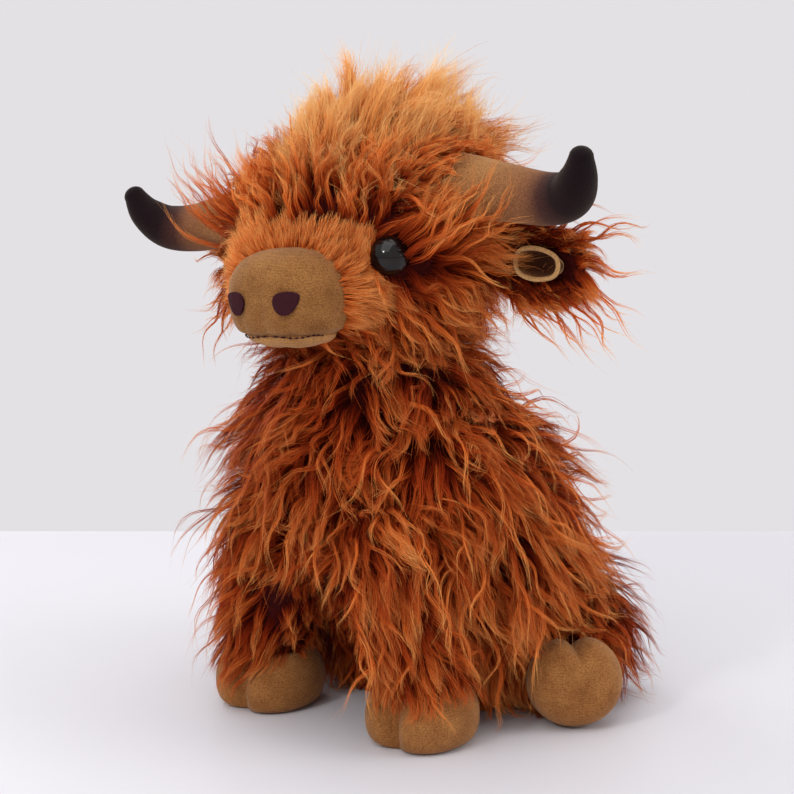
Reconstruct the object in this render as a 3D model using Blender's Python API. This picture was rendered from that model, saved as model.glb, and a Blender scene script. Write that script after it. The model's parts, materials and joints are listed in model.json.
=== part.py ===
"""A seated toy cow with long fur: sewn covers, fibre stuffing, velour trims and soft seams.

The cow faces -Y, its own left is +X, and it sits on the plane z = 0. Lengths are in metres.
Side views of a form are written as tables of shares of that form's own named sizes.
"""

import math

import bmesh
import bpy
from mathutils import Matrix, Vector

MM = 0.001

# Clearances
GAP = 0.3 * MM  # between pieces that are sewn or pressed against each other
SWING_GAP = 0.6 * MM  # between pieces that move past each other
OVERRUN = 12 * MM  # how far a cutting shape runs past what it cuts

# Fabrics
BODY_PILE = 9 * MM  # depth of the body's laid fur
HEAD_PILE = 6.5 * MM
LEG_PILE = 4.5 * MM
BACKING = 1.5 * MM  # woven backing under the fur
VELOUR = 1.6 * MM
SEAT_WALL = 3 * MM

# Neck ball that the head turns and nods on
NECK_HEIGHT = 135 * MM
NECK_RADIUS = 46 * MM
NECK_SETBACK = -10 * MM  # centre of the neck, behind the middle of the toy
NECK_MOUTH_RADIUS = 24 * MM

# Body
BODY_WIDTH = 142 * MM
BODY_DEPTH = 130 * MM
BODY_LEAN = 46 * MM  # how far behind the neck the seat's centre lies
# height, half width, half depth, setback behind the neck
BODY_SHARES = (
    (0.0, 0.66, 0.60, 1.07),
    (0.06, 0.76, 0.71, 1.06),
    (0.19, 0.86, 0.80, 1.0),
    (0.37, 0.97, 0.93, 0.76),
    (0.56, 1.0, 1.0, 0.54),
    (0.74, 0.93, 0.97, 0.37),
    (0.90, 0.83, 0.875, 0.17),
    (0.985, 0.72, 0.755, 0.04),
)
BODY_TUFT = 4.5 * MM  # depth of the hollows between the body's tufts of fur
TUFTED_SHARES = (0.10, 0.92)  # heights of the body where the tufts start and end
PELLET_HEIGHT = 30 * MM
PELLET_WIDTH = 64 * MM
PELLET_DEPTH = 52 * MM
PELLET_SHARES = (0.0, 0.16, 0.40, 0.66, 0.88)  # heights of the bag's rings

# Head, measured from the neck's centre forward and up
HEAD_DEPTH = 105 * MM
HEAD_WIDTH = 113 * MM
HEAD_TALL = 102 * MM
HEAD_BACK = 52 * MM  # back of the head behind the neck's centre
HEAD_MIDDLE = 204 * MM  # height of the widest part
HEAD_TILT = math.radians(4.5)  # the head leans to the toy's right
TILT_HEIGHT = 190 * MM
# distance forward from the back, half width, half height, centre height (of HEAD_MIDDLE)
HEAD_SHARES = (
    (0.035, 0.34, 0.36, 0.995),
    (0.13, 0.66, 0.70, 0.995),
    (0.28, 0.90, 0.92, 1.0),
    (0.46, 1.0, 1.0, 1.0),
    (0.61, 0.975, 0.98, 0.99),
    (0.76, 0.82, 0.84, 0.966),
    (0.89, 0.645, 0.61, 0.93),
    (1.0, 0.50, 0.43, 0.888),
)

# Crown panel of longer pile between the horns
CROWN_WIDTH = 98 * MM
CROWN_DEPTH = 94 * MM
CROWN_TALL = 66 * MM
CROWN_TOP = 270 * MM
CROWN_SETBACK = 8 * MM
CROWN_RINGS = 8
CROWN_FULLNESS = 0.85  # below 1 its sides stand fuller than an ellipsoid's

# Muzzle
MUZZLE_LENGTH = 19 * MM
MUZZLE_INSET = 2.3 * MM  # the fur round the seam stands this far proud of the velour
MUZZLE_SQUARE = 2.6
MUZZLE_ROUND = 2.4
MUZZLE_SHARES = (0.0, 0.22, 0.44, 0.64, 0.80, 0.91, 0.97)  # places of its rings, seam to front
MOUTH_BELOW = 14.2 * MM  # mouth seam below the muzzle's centre
MOUTH_THREAD = 0.9 * MM
NOSTRIL_PATCH = 1.0 * MM
NOSTRIL_SPACING = 26 * MM
NOSTRIL_WIDTH = 11 * MM
NOSTRIL_TALL = 8.5 * MM
NOSTRIL_SLANT = math.radians(28)

# Eyes
EYE_RADIUS = 8 * MM
EYE_SPACING = 72 * MM
EYE_HEIGHT = 195.5 * MM
EYE_FORWARD = 35 * MM  # in front of the neck's centre
EYE_AXIS = (0.78, -0.60, 0.16)
EYE_DOME_DEGREES = (-22, 2, 25, 47, 68)
SHANK_RADIUS = 1.8 * MM
SHANK_LENGTH = 17 * MM
WASHER_RADIUS = 6 * MM
WASHER_WALL = 1.6 * MM
WASHER_DEPTH = 12.5 * MM  # behind the eye's centre

# Horns, from the root centre outward
HORN_ROOT_HEIGHT = 218 * MM
HORN_ROOT_FORWARD = 11 * MM
HORN_REACH = 117 * MM
HORN_RADIUS = 14.5 * MM
HORN_RISE = 20 * MM
HORN_SWEEP = 14 * MM
HORN_LIFT = 3.5 * MM  # the left horn is stuffed higher than the right by twice this
HORN_ASIDE = 3.5 * MM  # both horns are sewn on this far to the toy's left
# outward (of the reach), rise, forward sweep, radius
HORN_SHARES = (
    (0.26, 0.02, 0.0, 1.0),
    (0.45, -0.08, 0.0, 0.90),
    (0.62, -0.22, 0.02, 0.77),
    (0.78, -0.36, 0.12, 0.70),
    (0.89, -0.30, 0.38, 0.64),
    (0.955, 0.02, 0.72, 0.50),
    (0.985, 0.40, 0.92, 0.32),
)
HORN_TIP = 4 * MM
HORN_CAP_SHARE = 0.62  # of the tip's length, where the cap's last ring lies
HORN_CAP_RADIUS_SHARE = 0.66

# Ears
EAR_ROOT_HEIGHT = 193 * MM
EAR_ROOT_FORWARD = -6 * MM
EAR_ROOT_OUT = 50 * MM
EAR_LENGTH = 60 * MM
EAR_WIDTH = 43 * MM
EAR_FUR = 7.5 * MM
EAR_LINING = 1.8 * MM
EAR_CUP = 5 * MM
EAR_DROOP = math.radians(9)
EAR_SWEEP = math.radians(6)
EAR_UP = math.radians(12)
EAR_DOWN = math.radians(20)
# along the ear, half width, thickness
EAR_SHARES = (
    (0.0, 0.46, 0.80),
    (0.12, 0.62, 0.92),
    (0.30, 0.90, 1.0),
    (0.50, 1.0, 1.0),
    (0.70, 0.86, 0.88),
    (0.86, 0.56, 0.66),
    (0.96, 0.28, 0.40),
)
LINING_START = 0.22
LINING_END = 0.69
LINING_WIDTH = 0.42

# Front legs
FRONT_STANCE = 41 * MM  # hoof centre from the middle
FRONT_SHOULDER = 28 * MM
FRONT_FORWARD = 21 * MM  # hoof centre in front of the neck's centre
FRONT_HEIGHT = 105 * MM
FRONT_RADIUS = 22.5 * MM
FRONT_LEAN = 4 * MM
FRONT_PIVOT_HEIGHT = 101 * MM
FRONT_PIVOT_FORWARD = 2 * MM
FRONT_SWING = math.radians(25)
# height above the hoof, radius, forward lean
FRONT_SHARES = (
    (0.0, 0.90, 0.0),
    (0.22, 0.96, 0.5),
    (0.50, 1.0, 0.92),
    (0.74, 0.98, 1.0),
    (0.90, 0.80, 0.8),
    (0.98, 0.44, 0.7),
)

# Hind legs, lying on the floor beside the seat
HIND_STANCE = 89 * MM  # centre of the sole from the middle
HIND_SETBACK = 24 * MM  # behind the neck's centre
HIND_TURN = math.radians(48)  # the sole faces this far outward from straight ahead
HIND_LENGTH = 74 * MM
HIND_RADIUS = 31 * MM
HIND_PIVOT_OUT = 48 * MM
HIND_PIVOT_SETBACK = 60 * MM
HIND_IN = math.radians(4)
HIND_OUT = math.radians(12)
# distance from the hoof, radius, lean
HIND_SHARES = (
    (0.0, 0.58, 0.0),
    (0.20, 0.78, 0.0),
    (0.46, 0.96, 0.0),
    (0.70, 1.0, 0.0),
    (0.90, 0.76, 0.0),
    (0.985, 0.36, 0.0),
)

# Hooves: two toes with a cleft on the front side
HOOF_WIDTH = 44 * MM
HOOF_LENGTH = 46 * MM
HOOF_HEIGHT = 25 * MM
HOOF_SQUARE = 2.3
CLEFT_DEPTH = 7 * MM
CLEFT_WIDTH = 4.6 * MM
HIND_HOOF_WIDTH = 40 * MM
HIND_HOOF_LENGTH = 38 * MM
# height, half width and half length, cleft
HOOF_SHARES = (
    (0.0, 0.80, 0.35),
    (0.12, 0.94, 0.6),
    (0.34, 1.0, 1.0),
    (0.62, 0.97, 0.95),
    (0.86, 0.86, 0.5),
    (1.0, 0.76, 0.0),
)

# Tail
TAIL_ROOT_HEIGHT = 66 * MM
TAIL_LENGTH = 54 * MM
TAIL_RADIUS = 5 * MM
TUFT_RADIUS = 8.5 * MM
TUFT_LENGTH = 34 * MM
TUFT_SHARES = ((0, 0.6), (0.12, 0.76), (0.34, 1.0), (0.62, 0.94), (0.86, 0.6), (1, 0.22))
TAIL_STAND = 5.6 * MM  # tail's centreline behind the body's fur
TAIL_SWING = math.radians(22)

# Numbers of facets
ROUND = 26
HOOF_ROUND = 24
LIMB_ROUND = 20
CORE_ROUND = 16
SMALL_ROUND = 12
NECK_ROUND = 36
BODY_STEPS = 11
HEAD_STEPS = 11
CORE_STEPS = 7

NECK_CENTRE = Vector((0, NECK_SETBACK, NECK_HEIGHT))
BODY_WALL = BODY_PILE + BACKING
HEAD_WALL = HEAD_PILE + BACKING
LEG_WALL = LEG_PILE + BACKING
HEAD_BACK_PLACE = NECK_SETBACK + HEAD_BACK
MUZZLE_SEAM = HEAD_BACK_PLACE - HEAD_DEPTH
MUZZLE_HALF_WIDTH = HEAD_WIDTH / 2 * HEAD_SHARES[-1][1] - MUZZLE_INSET
MUZZLE_HALF_HEIGHT = HEAD_TALL / 2 * HEAD_SHARES[-1][2] - MUZZLE_INSET
MUZZLE_CENTRE_HEIGHT = HEAD_MIDDLE * HEAD_SHARES[-1][3]
MOUTH_HEIGHT = MUZZLE_CENTRE_HEIGHT - MOUTH_BELOW
MOUTH_SLOT = MOUTH_THREAD + 2 * GAP
SIDES = (("left", 1), ("right", -1))

COLOURS = {
    "long_fur": (0.33, 0.085, 0.018),
    "crown_fur": (0.50, 0.20, 0.05),
    "velour": (0.42, 0.24, 0.10),
    "horn_velour": (0.30, 0.21, 0.11),
    "nostril_thread": (0.06, 0.008, 0.010),
    "eye_plastic": (0.010, 0.007, 0.006),
    "washer_plastic": (0.75, 0.75, 0.72),
    "fibre": (0.86, 0.86, 0.83),
    "pellet_cloth": (0.78, 0.77, 0.72),
    "seat_cloth": (0.25, 0.075, 0.02),
}
ROUGHNESS = {"eye_plastic": 0.08, "washer_plastic": 0.45}
CLOTH_ROUGHNESS = 0.9


def clear_scene():
    """Removes whatever the file opened with."""
    for old in list(bpy.data.objects):
        bpy.data.objects.remove(old, do_unlink=True)


def material(name):
    """The named finish, made once."""
    found = bpy.data.materials.get(name)
    if found:
        return found
    made = bpy.data.materials.new(name)
    made.use_nodes = True
    shader = made.node_tree.nodes["Principled BSDF"]
    shader.inputs["Base Color"].default_value = (*COLOURS[name], 1.0)
    shader.inputs["Roughness"].default_value = ROUGHNESS.get(name, CLOTH_ROUGHNESS)
    shader.inputs["Metallic"].default_value = 0.0
    return made


def smooth_rows(table, steps):
    """Rows read evenly from a smooth curve through a table's rows."""
    last = len(table) - 1
    rows = []
    for step in range(steps + 1):
        place = last * step / steps
        index = min(int(place), last - 1)
        t = place - index
        before = table[max(index - 1, 0)]
        start = table[index]
        end = table[index + 1]
        after = table[min(index + 2, last)]
        row = []
        for a, b, c, d in zip(before, start, end, after):
            bend = 2 * a - 5 * b + 4 * c - d
            twist = -a + 3 * b - 3 * c + d
            row.append(0.5 * (2 * b + (c - a) * t + bend * t**2 + twist * t**3))
        rows.append(row)
    return rows


def superellipse(half_a, half_b, square, count):
    """Corners of a rounded outline: square 2 is an ellipse, and more is boxier."""
    outline = []
    for index in range(count):
        angle = math.tau * index / count
        c = math.cos(angle)
        s = math.sin(angle)
        a = math.copysign(abs(c) ** (2 / square), c) * half_a
        b = math.copysign(abs(s) ** (2 / square), s) * half_b
        outline.append((a, b))
    return outline


def level_ring(centre, half_x, half_y, count, square=2.0):
    """A ring that lies flat."""
    outline = superellipse(half_x, half_y, square, count)
    return [centre + Vector((a, b, 0)) for a, b in outline]


def upright_ring(centre, half_x, half_z, count, square=2.0):
    """A ring that faces forward."""
    outline = superellipse(half_x, half_z, square, count)
    return [centre + Vector((a, 0, b)) for a, b in outline]


def path_rings(points, radii, count, side_hint):
    """Rings square to a path, each turned the same way about it."""
    rings = []
    for index, centre in enumerate(points):
        ahead = points[min(index + 1, len(points) - 1)]
        behind = points[max(index - 1, 0)]
        along = (ahead - behind).normalized()
        across = side_hint.cross(along).normalized()
        over = along.cross(across)
        ring = []
        for a, b in superellipse(radii[index], radii[index], 2.0, count):
            ring.append(centre + across * a + over * b)
        rings.append(ring)
    return rings


def skinned(rings, first=None, last=None, joined=False):
    """A closed mesh over a row of rings: its ends are points, flat caps, or joined to each other."""
    mesh = bmesh.new()
    loops = [[mesh.verts.new(point) for point in ring] for ring in rings]
    pairs = list(zip(loops, loops[1:]))
    if joined:
        pairs.append((loops[-1], loops[0]))
    for lower, upper in pairs:
        for index, corner in enumerate(lower):
            after = (index + 1) % len(lower)
            mesh.faces.new((corner, lower[after], upper[after], upper[index]))
    if not joined:
        for loop, tip in ((loops[0], first), (loops[-1], last)):
            if tip is None:
                mesh.faces.new(loop)
                continue
            peak = mesh.verts.new(tip)
            for index, corner in enumerate(loop):
                mesh.faces.new((corner, loop[(index + 1) % len(loop)], peak))
    return faced_outward(mesh)


def faced_outward(mesh):
    """Turns every face of a closed mesh outward."""
    bmesh.ops.recalc_face_normals(mesh, faces=mesh.faces)
    if mesh.calc_volume(signed=True) < 0:
        bmesh.ops.reverse_faces(mesh, faces=mesh.faces)
    return mesh


def made_object(name, mesh, finish=None):
    """An object from a working mesh."""
    data = bpy.data.meshes.new(name)
    mesh.to_mesh(data)
    mesh.free()
    made = bpy.data.objects.new(name, data)
    bpy.context.scene.collection.objects.link(made)
    if finish:
        data.materials.append(material(finish))
        data.shade_smooth()
    return made


def combined(target, tool, operation):
    """Cuts the target by the tool, or keeps what they share, and removes the tool."""
    step = target.modifiers.new(operation, "BOOLEAN")
    step.operation = operation
    step.solver = "EXACT"
    step.use_self = True
    step.object = tool
    bpy.context.view_layer.update()
    view = bpy.context.evaluated_depsgraph_get()
    result = bpy.data.meshes.new_from_object(target.evaluated_get(view))
    target.modifiers.clear()
    target.data = result
    bpy.data.objects.remove(tool, do_unlink=True)
    return target


def cut(target, *meshes):
    """Cuts working meshes, which may overlap, out of an object all at once."""
    whole = bmesh.new()
    for mesh in meshes:
        data = bpy.data.meshes.new("cutter")
        mesh.to_mesh(data)
        mesh.free()
        whole.from_mesh(data)
        bpy.data.meshes.remove(data)
    return combined(target, made_object("cutter", whole), "DIFFERENCE")


def turned_mesh(mesh, pivot, axis, angle):
    """The mesh turned about an axis through the pivot."""
    turn = Matrix.Rotation(angle, 3, axis)
    bmesh.ops.rotate(mesh, cent=pivot, matrix=turn, verts=mesh.verts)
    return mesh


def sideways(point, side):
    """A point of the left side, or its mirror on the right."""
    return Vector((point[0] * side, point[1], point[2]))


def box_mesh(low, high):
    """A plain box between two corners."""
    mesh = bmesh.new()
    bmesh.ops.create_cube(mesh, size=1)
    size = high - low
    bmesh.ops.scale(mesh, vec=size, verts=mesh.verts)
    bmesh.ops.translate(mesh, vec=(low + high) / 2, verts=mesh.verts)
    return mesh


def ball_mesh(centre, radius, count):
    """A ball with its poles up and down."""
    mesh = bmesh.new()
    bmesh.ops.create_uvsphere(mesh, u_segments=count, v_segments=count // 2, radius=radius)
    bmesh.ops.translate(mesh, vec=centre, verts=mesh.verts)
    return mesh


def turned_profile(profile, base, axis, count):
    """A turned piece: the profile's rows are distance along the axis and radius."""
    across = axis.orthogonal().normalized()
    over = axis.cross(across)
    rings = []
    for along, radius in profile:
        centre = base + axis * along
        ring = []
        for a, b in superellipse(radius, radius, 2.0, count):
            ring.append(centre + across * a + over * b)
        rings.append(ring)
    return rings


def body_rings(grow, steps, count, scale=1.0):
    """The body's form up to the neck ball, and the part of that ball above the shoulders."""
    rings = []
    for height, width, depth, setback in smooth_rows(BODY_SHARES, steps):
        centre = Vector((0, NECK_SETBACK + BODY_LEAN * setback, NECK_HEIGHT * height))
        half_width = BODY_WIDTH / 2 * width * scale + grow
        half_depth = BODY_DEPTH / 2 * depth * scale + grow
        rings.append(level_ring(centre, half_width, half_depth, count))
    radius = NECK_RADIUS - (1 - scale) * BODY_WIDTH / 2 + grow
    lowest = math.radians(11)
    highest = math.acos(NECK_MOUTH_RADIUS / NECK_RADIUS)
    for step in range(5):
        angle = lowest + (highest - lowest) * step / 4
        centre = NECK_CENTRE + Vector((0, 0, radius * math.sin(angle)))
        reach = radius * math.cos(angle)
        rings.append(level_ring(centre, reach, reach, count))
    return rings


def tufted(rings, steps):
    """The body's rings drawn in at every second point, so that tufts stand out between."""
    lowest, highest = TUFTED_SHARES
    made = []
    for row, ring in enumerate(rings):
        share = ring[0].z / NECK_HEIGHT
        if row > steps or not lowest < share < highest:
            made.append(ring)
            continue
        middle = sum(ring, Vector()) / len(ring)
        tufts = []
        for index, point in enumerate(ring):
            hollow = BODY_TUFT * ((row + index) % 2)
            tufts.append(point + (middle - point).normalized() * hollow)
        made.append(tufts)
    return made


def body_mesh(grow):
    """The body's whole form, closed over the neck, for cutting what lies against it."""
    rings = body_rings(grow, BODY_STEPS, ROUND)
    for point in rings[0]:
        point.z = -OVERRUN
    return skinned(rings, last=NECK_CENTRE + Vector((0, 0, NECK_RADIUS + grow)))


def neck_cutter():
    """The space that the neck ball turns in, clear of the ball for every facet."""
    chord = math.cos(math.pi / NECK_ROUND) ** 2
    radius = (NECK_RADIUS + GAP) / chord
    return ball_mesh(NECK_CENTRE, radius, NECK_ROUND)


def make_body():
    """Cover, seat panel, stuffing, pellet bag and the firm wad in the neck."""
    inner = 1 - BODY_WALL / (BODY_WIDTH / 2)
    outer_rings = tufted(body_rings(0, BODY_STEPS, ROUND), BODY_STEPS)
    inner_rings = body_rings(0, CORE_STEPS, ROUND, inner)
    cover = skinned(outer_rings + inner_rings[::-1], joined=True)
    pieces = [made_object("body_cover", cover, "long_fur")]

    seat_centre = Vector((0, NECK_SETBACK + BODY_LEAN * BODY_SHARES[0][3], 0))
    seat_x = BODY_WIDTH / 2 * BODY_SHARES[0][1] * inner - GAP
    seat_y = BODY_DEPTH / 2 * BODY_SHARES[0][2] * inner - GAP
    top = seat_centre + Vector((0, 0, SEAT_WALL))
    seat = [level_ring(seat_centre, seat_x, seat_y, ROUND), level_ring(top, seat_x, seat_y, ROUND)]
    pieces.append(made_object("seat_panel", skinned(seat), "seat_cloth"))

    core_rings = body_rings(-GAP, CORE_STEPS, ROUND, inner)
    for point in core_rings[0]:
        point.z = SEAT_WALL + GAP
    stuffing = made_object("body_stuffing", skinned(core_rings), "fibre")
    bag_base = top + Vector((0, 0, GAP))
    pieces.append(cut(stuffing, pellet_mesh(bag_base, GAP, SEAT_WALL)))
    pieces.append(made_object("pellet_bag", pellet_mesh(bag_base, 0, 0), "pellet_cloth"))
    pieces.append(make_neck(inner))
    return pieces


def pellet_mesh(base, grow, below):
    """A bag of pellets that sags flat on the seat."""
    rings = []
    for share in PELLET_SHARES:
        bulge = math.sqrt(1 - (2 * share - 0.7) ** 2 / 2)
        drop = below if share == 0 else 0
        centre = base + Vector((0, 0, PELLET_HEIGHT * share - drop))
        rings.append(
            level_ring(centre, PELLET_WIDTH / 2 * bulge + grow, PELLET_DEPTH / 2 * bulge + grow, CORE_ROUND)
        )
    return skinned(rings, last=base + Vector((0, 0, PELLET_HEIGHT + grow)))


def make_neck(inner):
    """The wad that fills the neck's mouth and rounds off the ball on top."""
    inner_radius = NECK_RADIUS - (1 - inner) * BODY_WIDTH / 2
    mouth = math.acos(NECK_MOUTH_RADIUS / NECK_RADIUS)
    stem_radius = inner_radius * math.cos(mouth) - SWING_GAP
    stem_low = inner_radius * math.sin(mouth)
    rings = [level_ring(NECK_CENTRE + Vector((0, 0, stem_low)), stem_radius, stem_radius, CORE_ROUND)]
    for step in range(4):
        angle = mouth + (math.pi / 2 - mouth) * step / 4
        reach = NECK_RADIUS * math.cos(angle) - SWING_GAP * (1 - step / 4)
        centre = NECK_CENTRE + Vector((0, 0, NECK_RADIUS * math.sin(angle)))
        rings.append(level_ring(centre, reach, reach, CORE_ROUND))
    wad = skinned(rings, last=NECK_CENTRE + Vector((0, 0, NECK_RADIUS)))
    return made_object("neck_stuffing", wad, "fibre")


def head_rings(grow, steps, count, scale=1.0):
    """The head's form from near its back to the muzzle seam."""
    rings = []
    for forward, width, height, middle in smooth_rows(HEAD_SHARES, steps):
        back_off = (1 - scale) * HEAD_WIDTH / 2 * (1 - forward)
        place = HEAD_BACK_PLACE - HEAD_DEPTH * forward - back_off
        centre = Vector((0, place, HEAD_MIDDLE * middle))
        half_width = HEAD_WIDTH / 2 * width * scale + grow
        half_height = HEAD_TALL / 2 * height * scale + grow
        rings.append(upright_ring(centre, half_width, half_height, count))
    return rings


def head_back_point(grow, scale=1.0):
    """The rearmost point of the head's form."""
    height = HEAD_MIDDLE * HEAD_SHARES[0][3]
    return Vector((0, HEAD_BACK_PLACE - (1 - scale) * HEAD_WIDTH / 2 + grow, height))


def head_mesh(grow):
    """The head's whole form, for cutting what is sewn to it."""
    return skinned(head_rings(grow, HEAD_STEPS, ROUND), first=head_back_point(grow))


def tilted(obj):
    """Leans a piece of the head with the rest of it."""
    pivot = Vector((0, 0, TILT_HEIGHT))
    lean = Matrix.Rotation(-HEAD_TILT, 4, "Y")
    obj.data.transform(Matrix.Translation(pivot) @ lean @ Matrix.Translation(-pivot))
    return obj


def tilted_point(point):
    """Where a point of the upright head lies once the head leans."""
    pivot = Vector((0, 0, TILT_HEIGHT))
    return pivot + Matrix.Rotation(-HEAD_TILT, 3, "Y") @ (point - pivot)


def eye_place(side):
    """An eye's centre and the way that it looks."""
    centre = Vector((EYE_SPACING / 2, NECK_SETBACK - EYE_FORWARD, EYE_HEIGHT))
    axis = Vector(EYE_AXIS).normalized()
    return sideways(centre, side), sideways(axis, side)


def eye_mesh(side, grow):
    """A domed eye on its shank."""
    centre, axis = eye_place(side)
    radius = EYE_RADIUS + grow
    profile = [(-SHANK_LENGTH, SHANK_RADIUS + grow), (-EYE_RADIUS / 3 - grow, SHANK_RADIUS + grow)]
    for degrees in EYE_DOME_DEGREES:
        angle = math.radians(degrees)
        profile.append((radius * math.sin(angle), radius * math.cos(angle)))
    rings = turned_profile(profile, centre, axis, LIMB_ROUND)
    return skinned(rings, last=centre + axis * radius)


def washer_rings(side):
    """The four edges of a lock washer."""
    centre, axis = eye_place(side)
    near = -WASHER_DEPTH
    far = near - WASHER_WALL
    hole = SHANK_RADIUS + GAP
    profile = ((near, hole), (near, WASHER_RADIUS), (far, WASHER_RADIUS), (far, hole))
    return turned_profile(profile, centre, axis, CORE_ROUND)


def washer_pocket(side):
    """The hollow in the stuffing that a washer and the shank's end press into."""
    centre, axis = eye_place(side)
    outer = -WASHER_DEPTH + OVERRUN
    floor = -max(SHANK_LENGTH, WASHER_DEPTH + WASHER_WALL) - GAP
    radius = WASHER_RADIUS + GAP
    return skinned(turned_profile(((outer, radius), (floor, radius)), centre, axis, CORE_ROUND))


def make_head():
    """Cover, stuffing, crown panel and eyes."""
    inner = 1 - HEAD_WALL / (HEAD_WIDTH / 2)
    outer_rings = head_rings(0, HEAD_STEPS, ROUND)
    inner_rings = head_rings(0, CORE_STEPS, ROUND, inner)
    shell = skinned(
        outer_rings + inner_rings[::-1], first=head_back_point(0), last=head_back_point(0, inner)
    )
    cover = made_object("head_cover", shell, "long_fur")
    core = skinned(head_rings(-GAP, CORE_STEPS, ROUND, inner), first=head_back_point(-GAP, inner))
    stuffing = made_object("head_stuffing", core, "fibre")
    pieces = [cover, stuffing]
    for name, side in SIDES:
        cut(cover, eye_mesh(side, GAP))
        cut(stuffing, washer_pocket(side), eye_mesh(side, GAP))
        pieces.append(made_object(f"eye_{name}", eye_mesh(side, 0), "eye_plastic"))
        washer = skinned(washer_rings(side), joined=True)
        pieces.append(made_object(f"eye_washer_{name}", washer, "washer_plastic"))
    pieces.append(make_crown())
    pieces += make_muzzle()
    for obj in pieces:
        tilted(obj)
    cut(cover, neck_cutter())
    cut(stuffing, neck_cutter())
    return pieces


def make_crown():
    """The brushed-up panel on top of the head, between the horns."""
    centre_height = CROWN_TOP - CROWN_TALL / 2
    rings = []
    for step in range(1, CROWN_RINGS + 1):
        angle = math.pi * step / (CROWN_RINGS + 1) - math.pi / 2
        spread = math.cos(angle) ** CROWN_FULLNESS
        centre = Vector((0, NECK_SETBACK + CROWN_SETBACK, centre_height + CROWN_TALL / 2 * math.sin(angle)))
        rings.append(
            level_ring(centre, CROWN_WIDTH / 2 * spread, CROWN_DEPTH / 2 * spread, LIMB_ROUND + 4)
        )
    low = Vector((0, NECK_SETBACK + CROWN_SETBACK, CROWN_TOP - CROWN_TALL))
    high = Vector((0, NECK_SETBACK + CROWN_SETBACK, CROWN_TOP))
    crown = made_object("crown_panel", skinned(rings, low, high), "crown_fur")
    cut(crown, head_mesh(GAP))
    cut(crown, horn_mesh(1, GAP), horn_mesh(-1, GAP))
    return crown


def muzzle_scale(share):
    """How much of the muzzle's seam outline is left at a share of its length."""
    return (1 - share**MUZZLE_ROUND) ** (1 / MUZZLE_ROUND)


def muzzle_rings(grow, start, inset=0.0):
    """The muzzle's form from its seam to its front."""
    rings = []
    length = MUZZLE_LENGTH - inset + grow
    for share in MUZZLE_SHARES:
        scale = muzzle_scale(share)
        centre = Vector((0, start - length * share, MUZZLE_CENTRE_HEIGHT))
        half_width = (MUZZLE_HALF_WIDTH - inset) * scale + grow
        half_height = (MUZZLE_HALF_HEIGHT - inset) * scale + grow
        rings.append(upright_ring(centre, half_width, half_height, ROUND, MUZZLE_SQUARE))
    tip = Vector((0, start - length, MUZZLE_CENTRE_HEIGHT))
    return rings, tip


def make_muzzle():
    """Velour cover split along the mouth, its stuffing, the mouth thread and the nostrils."""
    start = MUZZLE_SEAM - GAP
    outer_rings, outer_tip = muzzle_rings(0, start)
    inner_rings, inner_tip = muzzle_rings(0, start, VELOUR)
    far = Vector((HEAD_WIDTH, HEAD_DEPTH, 0))
    pieces = []
    for name, bottom, top in (
        ("muzzle_cover", -HEAD_TALL, -MOUTH_BELOW + MOUTH_SLOT / 2),
        ("lower_lip", -MOUTH_BELOW - MOUTH_SLOT / 2, HEAD_TALL),
    ):
        shell = skinned(outer_rings[::-1] + inner_rings, first=outer_tip, last=inner_tip)
        half = made_object(name, shell, "velour")
        low = -far + Vector((0, 0, MUZZLE_CENTRE_HEIGHT + bottom))
        high = far + Vector((0, 0, MUZZLE_CENTRE_HEIGHT + top))
        pieces.append(cut(half, box_mesh(low, high)))
    core_rings, core_tip = muzzle_rings(-GAP, start, VELOUR)
    core = skinned(core_rings, last=core_tip)
    pieces.append(made_object("muzzle_stuffing", core, "fibre"))
    pieces.append(make_mouth(start))
    for name, side in SIDES:
        pieces.append(make_nostril(name, side, start))
    return pieces


def make_mouth(start):
    """The thread that closes the mouth, laid round the muzzle in its seam."""
    drop = MOUTH_BELOW
    radius = MOUTH_THREAD / 2
    reach = (1 - (drop / MUZZLE_HALF_HEIGHT) ** MUZZLE_ROUND) ** (1 / MUZZLE_ROUND)
    half = []
    for step in range(10):
        share = reach * math.sin(math.pi / 2 * step / 9)
        scale = muzzle_scale(share)
        rise = min(drop / (MUZZLE_HALF_HEIGHT * scale), 1)
        width = MUZZLE_HALF_WIDTH * scale * (1 - rise**MUZZLE_SQUARE) ** (1 / MUZZLE_SQUARE)
        half.append((width, start - MUZZLE_LENGTH * share))
    outline = [(-w, y) for w, y in half] + [(w, y) for w, y in half[-2::-1]]
    points = []
    for index, (x, y) in enumerate(outline):
        before = outline[max(index - 1, 0)]
        after = outline[min(index + 1, len(outline) - 1)]
        along = Vector((after[0] - before[0], after[1] - before[1], 0)).normalized()
        inward = Vector((-along.y, along.x, 0))
        points.append(Vector((x, y, MOUTH_HEIGHT)) + inward * radius)
    rings = path_rings(points, [radius] * len(points), 8, Vector((0, 0, 1)))
    return made_object("mouth_thread", skinned(rings), "nostril_thread")


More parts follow.
